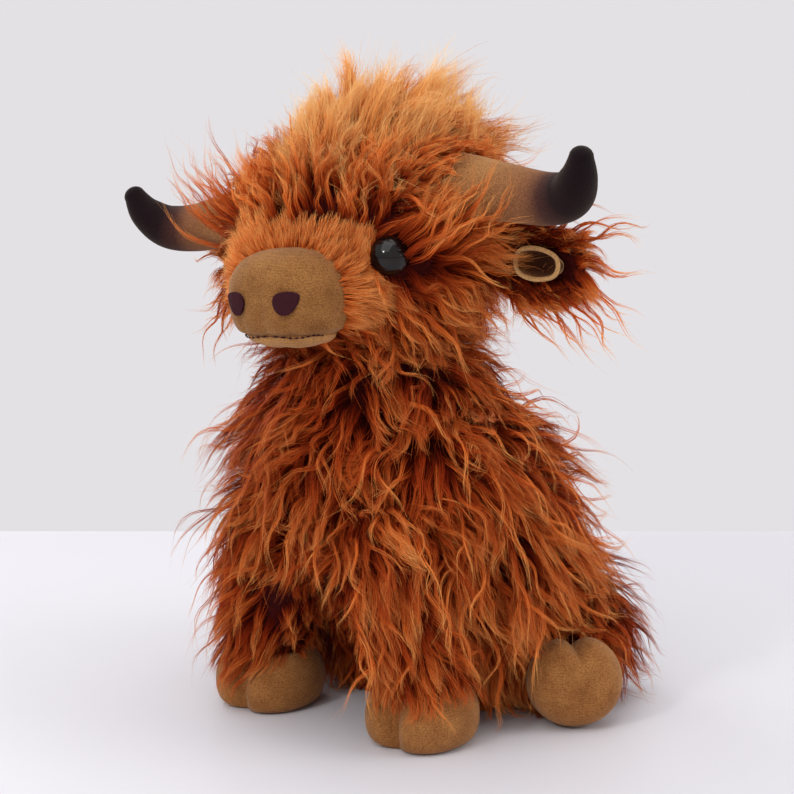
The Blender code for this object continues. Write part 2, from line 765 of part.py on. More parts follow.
def make_nostril(name, side, start):
    """An embroidered nostril, a slanted drop that follows the muzzle's front."""
    centre = Vector((NOSTRIL_SPACING / 2 * side, 0, MUZZLE_CENTRE_HEIGHT))
    front = []
    back = []
    for index in range(LIMB_ROUND):
        angle = math.tau * index / LIMB_ROUND
        narrow = 1 - 0.38 * math.cos(angle)
        a = math.cos(angle) * NOSTRIL_WIDTH / 2
        b = math.sin(angle) * NOSTRIL_TALL / 2 * narrow
        x = a * math.cos(NOSTRIL_SLANT) - b * math.sin(NOSTRIL_SLANT)
        z = a * math.sin(NOSTRIL_SLANT) + b * math.cos(NOSTRIL_SLANT)
        corner = centre + Vector((x * side, 0, z))
        front.append(corner + Vector((0, start - MUZZLE_LENGTH - OVERRUN, 0)))
        back.append(corner + Vector((0, start - MUZZLE_LENGTH / 3, 0)))
    patch = made_object(f"nostril_{name}", skinned([front, back]), "nostril_thread")
    outer_rings, outer_tip = muzzle_rings(GAP + NOSTRIL_PATCH, start)
    inner_rings, inner_tip = muzzle_rings(GAP, start)
    combined(patch, made_object("cutter", skinned(outer_rings, last=outer_tip)), "INTERSECT")
    return cut(patch, skinned(inner_rings, last=inner_tip))


def horn_path(side):
    """Centres and radii along a horn, from inside the head to near its tip."""
    points = []
    radii = []
    for outward, rise, sweep, thick in smooth_rows(HORN_SHARES, 10):
        height = HORN_ROOT_HEIGHT + HORN_RISE * rise + HORN_LIFT * side
        place = NECK_SETBACK - HORN_ROOT_FORWARD - HORN_SWEEP * sweep
        points.append(Vector((HORN_REACH * outward * side + HORN_ASIDE, place, height)))
        radii.append(HORN_RADIUS * thick)
    return points, radii


def horn_mesh(side, grow):
    """A horn's form, closed by a blunt round tip."""
    points, radii = horn_path(side)
    rings = path_rings(points, [radius + grow for radius in radii], CORE_ROUND, Vector((0, 1, 0)))
    along = (points[-1] - points[-2]).normalized()
    end = points[-1] + along * (HORN_TIP + grow) * HORN_CAP_SHARE
    cap_radii = [radii[-1] + grow, radii[-1] * HORN_CAP_RADIUS_SHARE + grow]
    cap = path_rings([points[-1], end], cap_radii, CORE_ROUND, Vector((0, 1, 0)))
    return skinned(rings + cap[1:], last=points[-1] + along * (HORN_TIP + grow))


def make_horns():
    """Velour covers open at the head, and their stuffing."""
    pieces = []
    for name, side in SIDES:
        cover = made_object(f"horn_cover_{name}", horn_mesh(side, 0), "horn_velour")
        cut(cover, horn_mesh(side, -VELOUR), head_mesh(GAP))
        stuffing = made_object(f"horn_stuffing_{name}", horn_mesh(side, -VELOUR - 1.5 * GAP), "fibre")
        cut(stuffing, head_mesh(GAP))
        pieces += [tilted(cover), tilted(stuffing)]
    return pieces


def ear_pivot(side):
    """Where an ear's root is sewn to the head."""
    return sideways(Vector((EAR_ROOT_OUT, NECK_SETBACK - EAR_ROOT_FORWARD, EAR_ROOT_HEIGHT)), side)


def ear_layer(side, start, end, width_share, front, thick):
    """One layer of an ear: a cupped leaf, thick at its middle line and thin at its rim."""
    rings = []
    for along, half, bulk in smooth_rows(EAR_SHARES, 10):
        if along < start or along > end:
            continue
        half_width = EAR_WIDTH / 2 * half * width_share
        face = []
        back = []
        for step in range(7):
            t = step / 3 - 1
            cup = -EAR_CUP * (t * half * width_share) ** 2
            edge = math.sqrt(max(1 - t * t, 0)) * 0.8 + 0.2
            place = Vector((EAR_LENGTH * along, cup + front, half_width * t))
            face.append(place)
            back.append(place + Vector((0, thick * bulk * edge, 0)))
        rings.append(face + back[::-1])
    mesh = skinned(rings)
    aim = Matrix.Rotation(EAR_SWEEP, 4, "Z") @ Matrix.Rotation(EAR_DROOP, 4, "Y")
    flip = Matrix.Scale(side, 4, Vector((1, 0, 0)))
    mesh.transform(Matrix.Translation(ear_pivot(side)) @ flip @ aim)
    return faced_outward(mesh)


def make_ear(name, side):
    """Fur back and velour lining, clear of the head wherever they swing."""
    back = made_object(f"ear_back_{name}", ear_layer(side, 0, 1, 1, 0, EAR_FUR), "long_fur")
    hinge = Vector((0, side, 0))
    poses = (-EAR_UP, -EAR_UP / 2, 0, EAR_DOWN / 2, EAR_DOWN)
    cut(back, *[turned_mesh(head_mesh(GAP), ear_pivot(side), hinge, -angle) for angle in poses])
    behind = -EAR_LINING - GAP
    lining = ear_layer(side, LINING_START, LINING_END, LINING_WIDTH, behind, EAR_LINING)
    front = made_object(f"ear_lining_{name}", lining, "velour")
    return [tilted(back), tilted(front)]


def hoof_ring(height, half_width, half_length, cleft):
    """A flat hoof outline with a cleft at its front."""
    ring = []
    for x, y in superellipse(half_width, half_length, HOOF_SQUARE, HOOF_ROUND):
        notch = cleft * math.exp(-((x / CLEFT_WIDTH) ** 2)) if y < 0 else 0
        ring.append(Vector((x, y + notch, height)))
    return ring


def hoof_rings(width, length, inset):
    """A hoof's outline from its sole up."""
    rings = []
    for up, spread, split in HOOF_SHARES:
        half_width = width / 2 * spread - inset
        half_length = length / 2 * spread - inset
        height = max(HOOF_HEIGHT * up, inset)
        rings.append(hoof_ring(height, half_width, half_length, CLEFT_DEPTH * split))
    return rings


def hoof_core_rings(width, length):
    """The stuffing inside a hoof, which stays behind the cleft."""
    inset = VELOUR + GAP
    rings = []
    for up, spread, split in HOOF_SHARES[:-1]:
        half_width = width / 2 * spread - inset - 2 * GAP
        half_length = length / 2 * spread - inset - CLEFT_DEPTH / 2
        centre = Vector((0, CLEFT_DEPTH / 2, max(HOOF_HEIGHT * up, inset)))
        rings.append(level_ring(centre, half_width, half_length, LIMB_ROUND))
    return rings


class Limb:
    """One leg: it stands on its sole at its own origin, with the hoof's cleft toward -Y."""

    def __init__(self, prefix, name, table, height, radius, hoof, centre):
        self.label = prefix, name
        self.table = table
        self.height = height
        self.radius = radius
        self.hoof = hoof
        self.centre = centre  # gives a ring's sideways place from its table row

    def rings(self, inset, steps, count):
        """The leg's form above its hoof."""
        made = []
        start = HOOF_HEIGHT + GAP
        for up, thick, lean in smooth_rows(self.table, steps):
            middle = self.centre(self.radius * thick, lean)
            middle.z = start + (self.height - inset - start) * up
            reach = max(self.radius * thick - inset, GAP)
            made.append(level_ring(middle, reach, reach, count))
        return made

    def pieces(self, aim, cutters):
        """Hoof, cover and stuffing, aimed in place and cut by the body wherever they swing."""
        prefix, name = self.label
        width, length = self.hoof
        shell = hoof_rings(width, length, 0) + hoof_rings(width, length, VELOUR)[::-1]
        hoof = made_object(f"{prefix}_hoof_{name}", skinned(shell), "velour")

        outer = self.rings(0, 8, LIMB_ROUND)
        inner = self.rings(LEG_WALL, 6, LIMB_ROUND)
        last = self.table[-1]
        top = self.centre(self.radius * last[1], last[2])
        top.z = self.height + GAP
        inner_top = top - Vector((0, 0, LEG_WALL))
        mesh = skinned(outer[::-1] + inner, first=top, last=inner_top)
        cover = made_object(f"{prefix}_leg_cover_{name}", mesh, "long_fur")

        core = hoof_core_rings(width, length) + self.rings(LEG_WALL + GAP, 6, LIMB_ROUND)
        mesh = skinned(core, last=inner_top - Vector((0, 0, GAP)))
        stuffing = made_object(f"{prefix}_leg_stuffing_{name}", mesh, "fibre")
        for obj in (hoof, cover, stuffing):
            obj.data.transform(aim)
        for obj in (cover, stuffing):
            cut(obj, *cutters())
        return [hoof, cover, stuffing]


def front_pivot(side):
    """Where a front leg's shoulder seam turns."""
    place = Vector((FRONT_SHOULDER, NECK_SETBACK - FRONT_PIVOT_FORWARD, FRONT_PIVOT_HEIGHT))
    return sideways(place, side)


def make_front_leg(name, side):
    """A front leg that stands before the chest and swings forward."""

    def centre(_, lean):
        """The leg leans in and forward as it rises."""
        inward = (FRONT_SHOULDER - FRONT_STANCE) * side
        return Vector((inward * lean, -FRONT_LEAN * lean, 0))

    def cutters():
        """The body as the leg meets it along its swing."""
        for share in (0, 0.35, 0.7, 1):
            angle = -FRONT_SWING * share
            yield turned_mesh(body_mesh(GAP), front_pivot(side), Vector((-1, 0, 0)), angle)

    hoof = HOOF_WIDTH, HOOF_LENGTH
    limb = Limb("front", name, FRONT_SHARES, FRONT_HEIGHT, FRONT_RADIUS, hoof, centre)
    place = Vector((FRONT_STANCE * side, NECK_SETBACK - FRONT_FORWARD, 0))
    return limb.pieces(Matrix.Translation(place), cutters)


def hind_pivot(side):
    """Where a hind leg's hip seam turns."""
    place = Vector((HIND_PIVOT_OUT, NECK_SETBACK + HIND_PIVOT_SETBACK, HIND_HOOF_LENGTH / 2))
    return sideways(place, side)


def make_hind_leg(name, side):
    """A hind leg that lies beside the seat with its sole facing forward and out."""

    def centre(reach, _):
        """The leg lies on the floor, so it rises as it thickens."""
        return Vector((0, HIND_HOOF_LENGTH / 2 - reach - GAP, 0))

    def cutters():
        """The body as the leg meets it along its swing."""
        for angle in (-HIND_IN, 0, HIND_OUT):
            yield turned_mesh(body_mesh(GAP), hind_pivot(side), Vector((0, 0, side)), -angle)

    hoof = HIND_HOOF_WIDTH, HIND_HOOF_LENGTH
    limb = Limb("hind", name, HIND_SHARES, HIND_LENGTH, HIND_RADIUS, hoof, centre)
    facing = Vector((math.sin(HIND_TURN) * side, -math.cos(HIND_TURN), 0))
    up = Vector((0, 0, 1))
    aim = Matrix((up.cross(facing), -up, -facing)).transposed().to_4x4()
    place = Vector((HIND_STANCE * side, NECK_SETBACK + HIND_SETBACK, HIND_HOOF_LENGTH / 2))
    return limb.pieces(Matrix.Translation(place) @ aim, cutters)


def body_back(height):
    """How far back the body's fur reaches at a height."""
    share = height / NECK_HEIGHT
    rows = smooth_rows(BODY_SHARES, 40)
    row = min(rows, key=lambda item: abs(item[0] - share))
    return NECK_SETBACK + BODY_LEAN * row[3] + BODY_DEPTH / 2 * row[2]


def tail_pivot():
    """Where the tail's root is sewn to the back."""
    return Vector((0, body_back(TAIL_ROOT_HEIGHT) + TAIL_STAND, TAIL_ROOT_HEIGHT))


def make_tail():
    """A slim fur tail that hangs down the back to a thick tuft."""
    root = tail_pivot()
    points = []
    for step in range(7):
        height = TAIL_ROOT_HEIGHT - (TAIL_LENGTH - TUFT_LENGTH) * step / 6
        points.append(Vector((0, body_back(height) + TAIL_STAND, height)))
    radii = [TAIL_RADIUS] * 7
    rings = path_rings(points, radii, SMALL_ROUND, Vector((1, 0, 0)))
    tail = made_object("tail", skinned(rings, first=root + Vector((0, 0, TAIL_RADIUS))), "long_fur")

    tuft_points = []
    tuft_radii = []
    top = TAIL_ROOT_HEIGHT - (TAIL_LENGTH - TUFT_LENGTH) - GAP
    for share, thick in TUFT_SHARES:
        height = top - TUFT_LENGTH * share
        tuft_points.append(Vector((0, body_back(height) + TAIL_STAND, height)))
        tuft_radii.append(TUFT_RADIUS * thick)
    rings = path_rings(tuft_points, tuft_radii, SMALL_ROUND, Vector((1, 0, 0)))
    tuft = made_object("tail_tuft", skinned(rings), "crown_fur")
    hinge = Vector((0, 1, 0))
    for obj in (tail, tuft):
        poses = (-TAIL_SWING, 0, TAIL_SWING)
        cut(obj, *[turned_mesh(body_mesh(GAP), root, hinge, -angle) for angle in poses])
    return [tail, tuft]


def group(name, parent, pivot, members):
    """Puts pieces under an empty that stands on the axis they turn about."""
    anchor = bpy.data.objects.new(f"group_{name}", None)
    bpy.context.scene.collection.objects.link(anchor)
    anchor.location = pivot
    if parent:
        bpy.context.view_layer.update()
        anchor.parent = parent
        anchor.matrix_parent_inverse = parent.matrix_world.inverted()
    for member in members:
        member.data.transform(Matrix.Translation(-pivot))
        member.parent = anchor
    print(f"{name} turns about {tuple(round(x / MM, 2) for x in pivot)}")
    return anchor


def centred(anchor):
    """Moves the whole toy so that its box stands centred on the origin."""
    bpy.context.view_layer.update()
    corners = []
    for obj in anchor.children_recursive:
        if obj.type == "MESH":
            corners += [obj.matrix_world @ vertex.co for vertex in obj.data.vertices]
    for axis in (0, 1):
        values = [corner[axis] for corner in corners]
        anchor.location[axis] -= (min(values) + max(values)) / 2
    bpy.context.view_layer.update()
    shift = anchor.matrix_world.translation
    print(f"moved to the origin by {tuple(round(x / MM, 2) for x in shift)}")


def main():
    """Makes every piece and parents it to the group that it moves with."""
    clear_scene()
    ground = Vector((0, 0, 0))
    body = make_body()
    neck = body.pop()
    root = group("body", None, ground, body)
    turning = group("neck", root, NECK_CENTRE, [neck])
    head = group("head", turning, NECK_CENTRE, make_head() + make_horns())
    for name, side in SIDES:
        group(f"ear_{name}", head, tilted_point(ear_pivot(side)), make_ear(name, side))
        group(f"front_leg_{name}", root, front_pivot(side), make_front_leg(name, side))
        group(f"hind_leg_{name}", root, hind_pivot(side), make_hind_leg(name, side))
    group("tail", root, tail_pivot(), make_tail())
    centred(root)


main()
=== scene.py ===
"""Looks of a seated plush cow: long wavy fur over stuffed covers, with velour trims.

The cow faces -Y, its own left is +X, and it sits on the plane z = 0. Lengths are in metres.
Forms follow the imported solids: the neck's joint gives the place that every size counts from.
"""

import json
import logging
import math
from collections.abc import Callable
from dataclasses import dataclass, field, replace
from enum import Enum

import bpy
import numpy as np
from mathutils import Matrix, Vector


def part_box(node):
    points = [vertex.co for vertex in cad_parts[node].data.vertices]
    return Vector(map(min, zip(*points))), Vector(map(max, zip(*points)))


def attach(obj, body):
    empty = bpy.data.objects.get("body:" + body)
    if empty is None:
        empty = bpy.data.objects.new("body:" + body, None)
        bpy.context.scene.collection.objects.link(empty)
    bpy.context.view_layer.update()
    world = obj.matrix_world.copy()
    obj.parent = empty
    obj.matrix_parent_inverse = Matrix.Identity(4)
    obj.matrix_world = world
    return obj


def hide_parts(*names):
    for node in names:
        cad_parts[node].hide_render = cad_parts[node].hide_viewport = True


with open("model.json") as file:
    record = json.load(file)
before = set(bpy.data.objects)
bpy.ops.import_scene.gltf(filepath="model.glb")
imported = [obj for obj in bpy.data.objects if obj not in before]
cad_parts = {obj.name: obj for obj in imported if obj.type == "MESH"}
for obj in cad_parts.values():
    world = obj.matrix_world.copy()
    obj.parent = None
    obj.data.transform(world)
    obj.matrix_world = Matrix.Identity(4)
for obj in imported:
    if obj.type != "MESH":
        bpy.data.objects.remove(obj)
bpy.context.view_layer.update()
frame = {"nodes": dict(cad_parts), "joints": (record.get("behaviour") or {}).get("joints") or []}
LOG = logging.getLogger("plush_cow")
MM = 0.001
Array = np.ndarray
UP = np.array((0.0, 0.0, 1.0))
BACK = np.array((0.0, 1.0, 0.0))
LEFT = np.array((1.0, 0.0, 0.0))
STRANDS_PER_PIECE = 12000
TONES = 256  # steps of fur colour, each a column of the fur's map
FLOOR_CLEARANCE = 0.5 * MM
EVEN_SPREAD = (0.7548776662, 0.5698402910)  # steps that fill a square evenly
SKIN_STEPS = (40, 64)  # rings less one of a large skin, and points round each
GRID = (72, 96)  # the same, of the grid that roots are read from
LEG_START = 25.3 * MM  # where a leg's cover starts over the hoof's sole
SEED = 11


class Side(Enum):
    """The toy's own left and right."""

    LEFT = 1
    RIGHT = -1

    @property
    def word(self) -> str:
        """The side's name as the nodes have it."""
        return self.name.lower()


def joint_place(name: str) -> Array:
    """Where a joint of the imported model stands.

    Args:
        name: the joint's name.

    Returns:
        Its place at rest.
    """
    return np.array(next(j["pos_m"] for j in frame["joints"] if j["name"] == name))


NECK_IN_PATTERN = np.array((0.0, -10.0, 135.0)) * MM
PATTERN_SHIFT = joint_place("head_turn") - NECK_IN_PATTERN
HEAD_TILT = math.radians(-4.5)
TILT_HEIGHT = 190 * MM


def unit(vectors: Array) -> Array:
    """The same directions at length one."""
    return vectors / np.maximum(np.linalg.norm(vectors, axis=-1, keepdims=True), 1e-12)


def dot(a: Array, b: Array) -> Array:
    """Row by row product of directions."""
    return np.sum(a * b, axis=-1)


def on_surface(direction: Array, normal: Array) -> Array:
    """Directions laid flat on a surface.

    Args:
        direction: directions, one for each place or one for all.
        normal: the surface's outward direction at each place.

    Returns:
        Unit directions square to the normals.
    """
    wide = np.broadcast_to(direction, normal.shape)
    return unit(wide - normal * dot(wide, normal)[:, None])


def turned(vectors: Array, axis: Array, angle: Array) -> Array:
    """Directions turned about unit axes, row by row."""
    c = np.cos(angle)[:, None]
    s = np.sin(angle)[:, None]
    along = dot(vectors, axis)[:, None]
    return vectors * c + np.cross(axis, vectors) * s + axis * along * (1 - c)


def smooth_rows(table: Array, steps: int) -> Array:
    """Rows read evenly from a smooth curve through a table's rows.

    Args:
        table: rows of numbers.
        steps: how many equal steps to read.

    Returns:
        steps + 1 rows.
    """
    table = np.asarray(table, float)
    last = len(table) - 1
    place = np.linspace(0, last, steps + 1)
    index = np.minimum(place.astype(int), last - 1)
    t = (place - index)[:, None]
    a = table[np.maximum(index - 1, 0)]
    b = table[index]
    c = table[index + 1]
    d = table[np.minimum(index + 2, last)]
    bend = 2 * a - 5 * b + 4 * c - d
    twist = -a + 3 * b - 3 * c + d
    return 0.5 * (2 * b + (c - a) * t + bend * t**2 + twist * t**3)


def placed(axes: Array, origin: Array) -> Array:
    """A placing matrix from three axes, given as rows, and an origin."""
    matrix = np.eye(4)
    matrix[:3, :3] = np.asarray(axes, float).T
    matrix[:3, 3] = origin
    return matrix


def about_y(angle: float) -> Array:
    """The three by three matrix of a turn about the Y axis."""
    c, s = math.cos(angle), math.sin(angle)
    return np.array(((c, 0, s), (0, 1, 0), (-s, 0, c)))


def tilt_matrix() -> Array:
    """How the head's pieces lean from the upright pattern."""
    lean = np.eye(4)
    lean[:3, :3] = about_y(HEAD_TILT)
    pivot = np.array((0.0, 0.0, TILT_HEIGHT))
    lean[:3, 3] = pivot - lean[:3, :3] @ pivot
    shift = np.eye(4)
    shift[:3, 3] = PATTERN_SHIFT
    return shift @ lean


def moved(matrix: Array, points: Array) -> Array:
    """Points carried by a placing matrix."""
    return points @ matrix[:3, :3].T + matrix[:3, 3]


def moved_grid(matrix: Array, grid: Array) -> Array:
    """Rings of points carried by a placing matrix."""
    return moved(matrix, grid.reshape(-1, 3)).reshape(grid.shape)


def moved_point(matrix: Array, point: tuple | Array) -> Array:
    """One point carried by a placing matrix."""
    return moved(matrix, np.array([point]))[0]


def squared_ring(count: int, square: float) -> tuple[Array, Array]:
    """A unit ring, round or between round and square.

    Args:
        count: points round it.
        square: 2 for a circle, more for a squarer ring.

    Returns:
        The points' places across and over.
    """
    angle = np.linspace(0, math.tau, count, endpoint=False)
    c, s = np.cos(angle), np.sin(angle)
    power = 2 / square
    return np.sign(c) * np.abs(c) ** power, np.sign(s) * np.abs(s) ** power


def tube(line: Array, across: Array, over: Array, radius: float | Array, count: int) -> Array:
    """Rings of a round tube along a line.

    Args:
        line: the tube's middle.
        across: a unit direction square to the line, for each of its points.
        over: the direction square to both.
        radius: the tube's radius, one for all points or one for each.
        count: points round it.

    Returns:
        An array of rings by points by three.
    """
    turn = np.linspace(0, math.tau, count, endpoint=False)[None, :, None]
    over = np.broadcast_to(over, across.shape)
    ring = across[:, None] * np.cos(turn) + over[:, None] * np.sin(turn)
    return line[:, None] + ring * np.broadcast_to(radius, len(line))[:, None, None]


BODY_FRAME = placed(np.eye(3), PATTERN_SHIFT)
HEAD_FRAME = tilt_matrix()


class SmoothNoise:
    """A soft random value over space, made of plane waves."""

    def __init__(self, size: float, rng: np.random.Generator) -> None:
        """Draws the waves.

        Args:
            size: the size of a patch of like value.
            rng: where the waves come from.
        """
        self.waves = unit(rng.normal(size=(7, 3))) * math.tau / size
        self.phases = rng.random(7) * math.tau
        self.shares = 0.6 + 0.8 * rng.random(7)

    def at(self, points: Array) -> Array:
        """Values about -1 to 1 at points."""
        angle = points @ self.waves.T + self.phases
        return np.sin(angle) @ self.shares / 3.0


@dataclass
class Roots:
    """Places on a skin where locks of fur start."""

    place: Array
    normal: Array
    comb: Array
    length: Array
    lift: Array
    tone: Array

    def kept(self, mask: Array) -> "Roots":
        """Only the roots that a mask keeps."""
        return Roots(*(getattr(self, name)[mask] for name in self.__dataclass_fields__))


@dataclass
class SweptForm:
    """A stuffed form skinned over rings along a line.

    Its rows are distance along, sideways place, place over, half width and half height.
    """

    rows: Array
    to_world: Array
    square: float = 2.0
    dense: Array = field(init=False)
    to_local: Array = field(init=False)

    def __post_init__(self) -> None:
        """Reads the smooth curve through the rows once."""
        self.dense = smooth_rows(self.rows, 60)
        self.to_local = np.linalg.inv(self.to_world)

    def rings(self, steps: int, count: int, grow: float = 0.0) -> Array:
        """Points of the skin, ring by ring.

        Args:
            steps: rings less one.
            count: points round each ring.
            grow: how far to stand off the form.

        Returns:
            An array of rings by points by three.
        """
        rows = smooth_rows(self.rows, steps)
        a, b = squared_ring(count, self.square)
        x = rows[:, 1:2] + (rows[:, 3:4] + grow) * a
        y = rows[:, 2:3] + (rows[:, 4:5] + grow) * b
        z = np.repeat(rows[:, :1], count, axis=1)
        return moved(self.to_world, np.stack([x, y, z], axis=2))

    def scattered(self, spacing: float, low: float = 0.0, high: float = 1.0) -> Roots:
        """Evenly scattered roots.

        Args:
            spacing: mean distance between roots.
            low: share of the line where they start.
            high: share of the line where they end.

        Returns:
            Roots combed along the form's line, a unit long and lying flat.
        """
        steps, around_count = GRID
        grid = self.rings(steps, around_count)
        along = np.gradient(grid, axis=0)
        around = (np.roll(grid, -1, axis=1) - np.roll(grid, 1, axis=1)) / 2
        normal = np.cross(along, around)
        centre = grid.mean(axis=1, keepdims=True)
        flip = np.sign(np.sum(normal * (grid - centre), axis=2, keepdims=True))
        area = np.linalg.norm(normal, axis=2).sum(axis=1)
        normal = unit(normal * flip)
        area[: int(low * steps)] = 0
        area[int(high * steps) + 1 :] = 0
        total = np.concatenate([[0], np.cumsum((area[1:] + area[:-1]) / 2)])
        count = int(total[-1] / spacing**2)
        index = np.arange(1, count + 1)
        ring = np.interp((index * EVEN_SPREAD[0]) % 1 * total[-1], total, np.arange(steps + 1.0))
        turn = (index * EVEN_SPREAD[1]) % 1 * around_count
        r0 = np.minimum(ring.astype(int), steps - 1)
        c0 = turn.astype(int) % around_count
        fr = (ring - r0)[:, None]
        fc = (turn - turn.astype(int))[:, None]

        def read(values: Array) -> Array:
            """The grid's values between its points."""
            c1 = (c0 + 1) % around_count
            low_ring = values[r0, c0] * (1 - fc) + values[r0, c1] * fc
            high_ring = values[r0 + 1, c0] * (1 - fc) + values[r0 + 1, c1] * fc
            return low_ring * (1 - fr) + high_ring * fr

        out = unit(read(normal))
        ones = np.ones(count)
        return Roots(read(grid), out, unit(read(along)), ones, ones * 0, ones * 0.5)

    def depth(self, points: Array, margin: float | Array = 0.0) -> tuple[Array, Array, Array]:
        """How deep points lie in the form.

        Args:
            points: places.
            margin: how far the form is grown.

        Returns:
            A share that is under one inside, the places in the form's own axes, and the ring
            centres beside them.
        """
        local = moved(self.to_local, points)
        along = self.dense[:, 0]
        row = [np.interp(local[:, 2], along, self.dense[:, k]) for k in range(1, 5)]
        x = (local[:, 0] - row[0]) / np.maximum(row[2] + margin, 1e-4)
        y = (local[:, 1] - row[1]) / np.maximum(row[3] + margin, 1e-4)
        share = np.sqrt(x**2 + y**2)
        outside = (local[:, 2] < along[0] - margin) | (local[:, 2] > along[-1] + margin)
        share = np.where(outside, 9.0, share)
        return share, local, np.stack([row[0], row[1]], axis=1)

    def holds(self, points: Array, margin: float = 0.0) -> Array:
        """Whether points lie in the form."""
        return self.depth(points, margin)[0] < 1

    def pushed(self, points: Array, margin: float | Array) -> Array:
        """Points moved out of the form.

        Args:
            points: places.
            margin: how far off the form they end.

        Returns:
            The same places, those inside moved out square to the line.
        """
        share, local, centre = self.depth(points, margin)
        inside = share < 1
        scale = np.where(inside, 1 / np.maximum(share, 0.05), 1.0)[:, None]
        local[:, :2] = centre + (local[:, :2] - centre) * scale
        return np.where(inside[:, None], moved(self.to_world, local), points)


@dataclass
class Ball:
    """A round thing that fur parts around."""

    centre: Array
    radius: float

    def holds(self, points: Array, margin: float = 0.0) -> Array:
        """Whether points lie in the ball."""
        return np.linalg.norm(points - self.centre, axis=-1) < self.radius + margin

    def pushed(self, points: Array, margin: float | Array) -> Array:
        """Points moved out of the ball."""
        away = points - self.centre
        reach = np.linalg.norm(away, axis=1)
        wanted = self.radius + margin
        scale = np.where(reach < wanted, wanted / np.maximum(reach, 1e-6), 1.0)
        return self.centre + away * scale[:, None]


def clear_of(roots: Roots, balls: list[Ball], margin: float) -> Roots:
    """The roots outside balls that are grown by a margin."""
    return roots.kept(~np.any([ball.holds(roots.place, margin) for ball in balls], axis=0))


def new_mesh(name: str, points: Array, faces: list[tuple[int, ...]]) -> bpy.types.Object:
    """A smooth-shaded object from points and faces."""
    data = bpy.data.meshes.new(name)
    data.from_pydata([tuple(p) for p in points], [], faces)
    data.update()
    data.shade_smooth()
    made = bpy.data.objects.new(name, data)
    bpy.context.scene.collection.objects.link(made)
    return made


def skin_faces(rings: int, count: int, first: bool, last: bool) -> list[tuple[int, ...]]:
    """Faces over rings of points.

    Args:
        rings: how many rings.
        count: points in each.
        first: whether one more point closes the first ring.
        last: whether one more point closes the last ring.

    Returns:
        Faces, with the closing points numbered after all the rings.
    """
    faces = []
    for r in range(rings - 1):
        for c in range(count):
            d = (c + 1) % count
            low = r * count
            high = low + count
            faces.append((low + c, low + d, high + d, high + c))
    tip = rings * count
    if first:
        faces += [(tip, (c + 1) % count, c) for c in range(count)]
        tip += 1
    if last:
        low = (rings - 1) * count
        faces += [(tip, low + c, low + (c + 1) % count) for c in range(count)]
    return faces


def skinned(name: str, grid: Array, first: Array | None, last: Array | None) -> bpy.types.Object:
    """An object over rings of points.

    Args:
        name: the object's name.
        grid: rings by points by three.
        first: the point that closes the first ring, if any.
        last: the point that closes the last ring, if any.

    Returns:
        The object, with its faces outward.
    """
    rings, count = grid.shape[:2]
    points = grid.reshape(-1, 3)
    tips = [tip for tip in (first, last) if tip is not None]
    if tips:
        points = np.concatenate([points, np.array(tips)])
    faces = skin_faces(rings, count, first is not None, last is not None)
    made = new_mesh(name, points, faces)
    inside = grid.reshape(-1, 3).mean(axis=0)
    middle = made.data.polygons[len(faces) // 2]
    if middle.normal.dot(middle.center - Vector(inside)) < 0:
        made.data.flip_normals()
    return made


def carry(made: bpy.types.Object, name: str, values: Array) -> None:
    """Gives each point of a mesh a value that its material reads."""
    layer = made.data.attributes.new(name, "FLOAT", "POINT")
    layer.data.foreach_set("value", values.astype(np.float32))


def capped(name: str, grid: Array, material: bpy.types.Material) -> bpy.types.Object:
    """A skin over rings, closed at both ends, in its material."""
    made = skinned(name, grid, grid[0].mean(axis=0), grid[-1].mean(axis=0))
    made.data.materials.append(material)
    return made


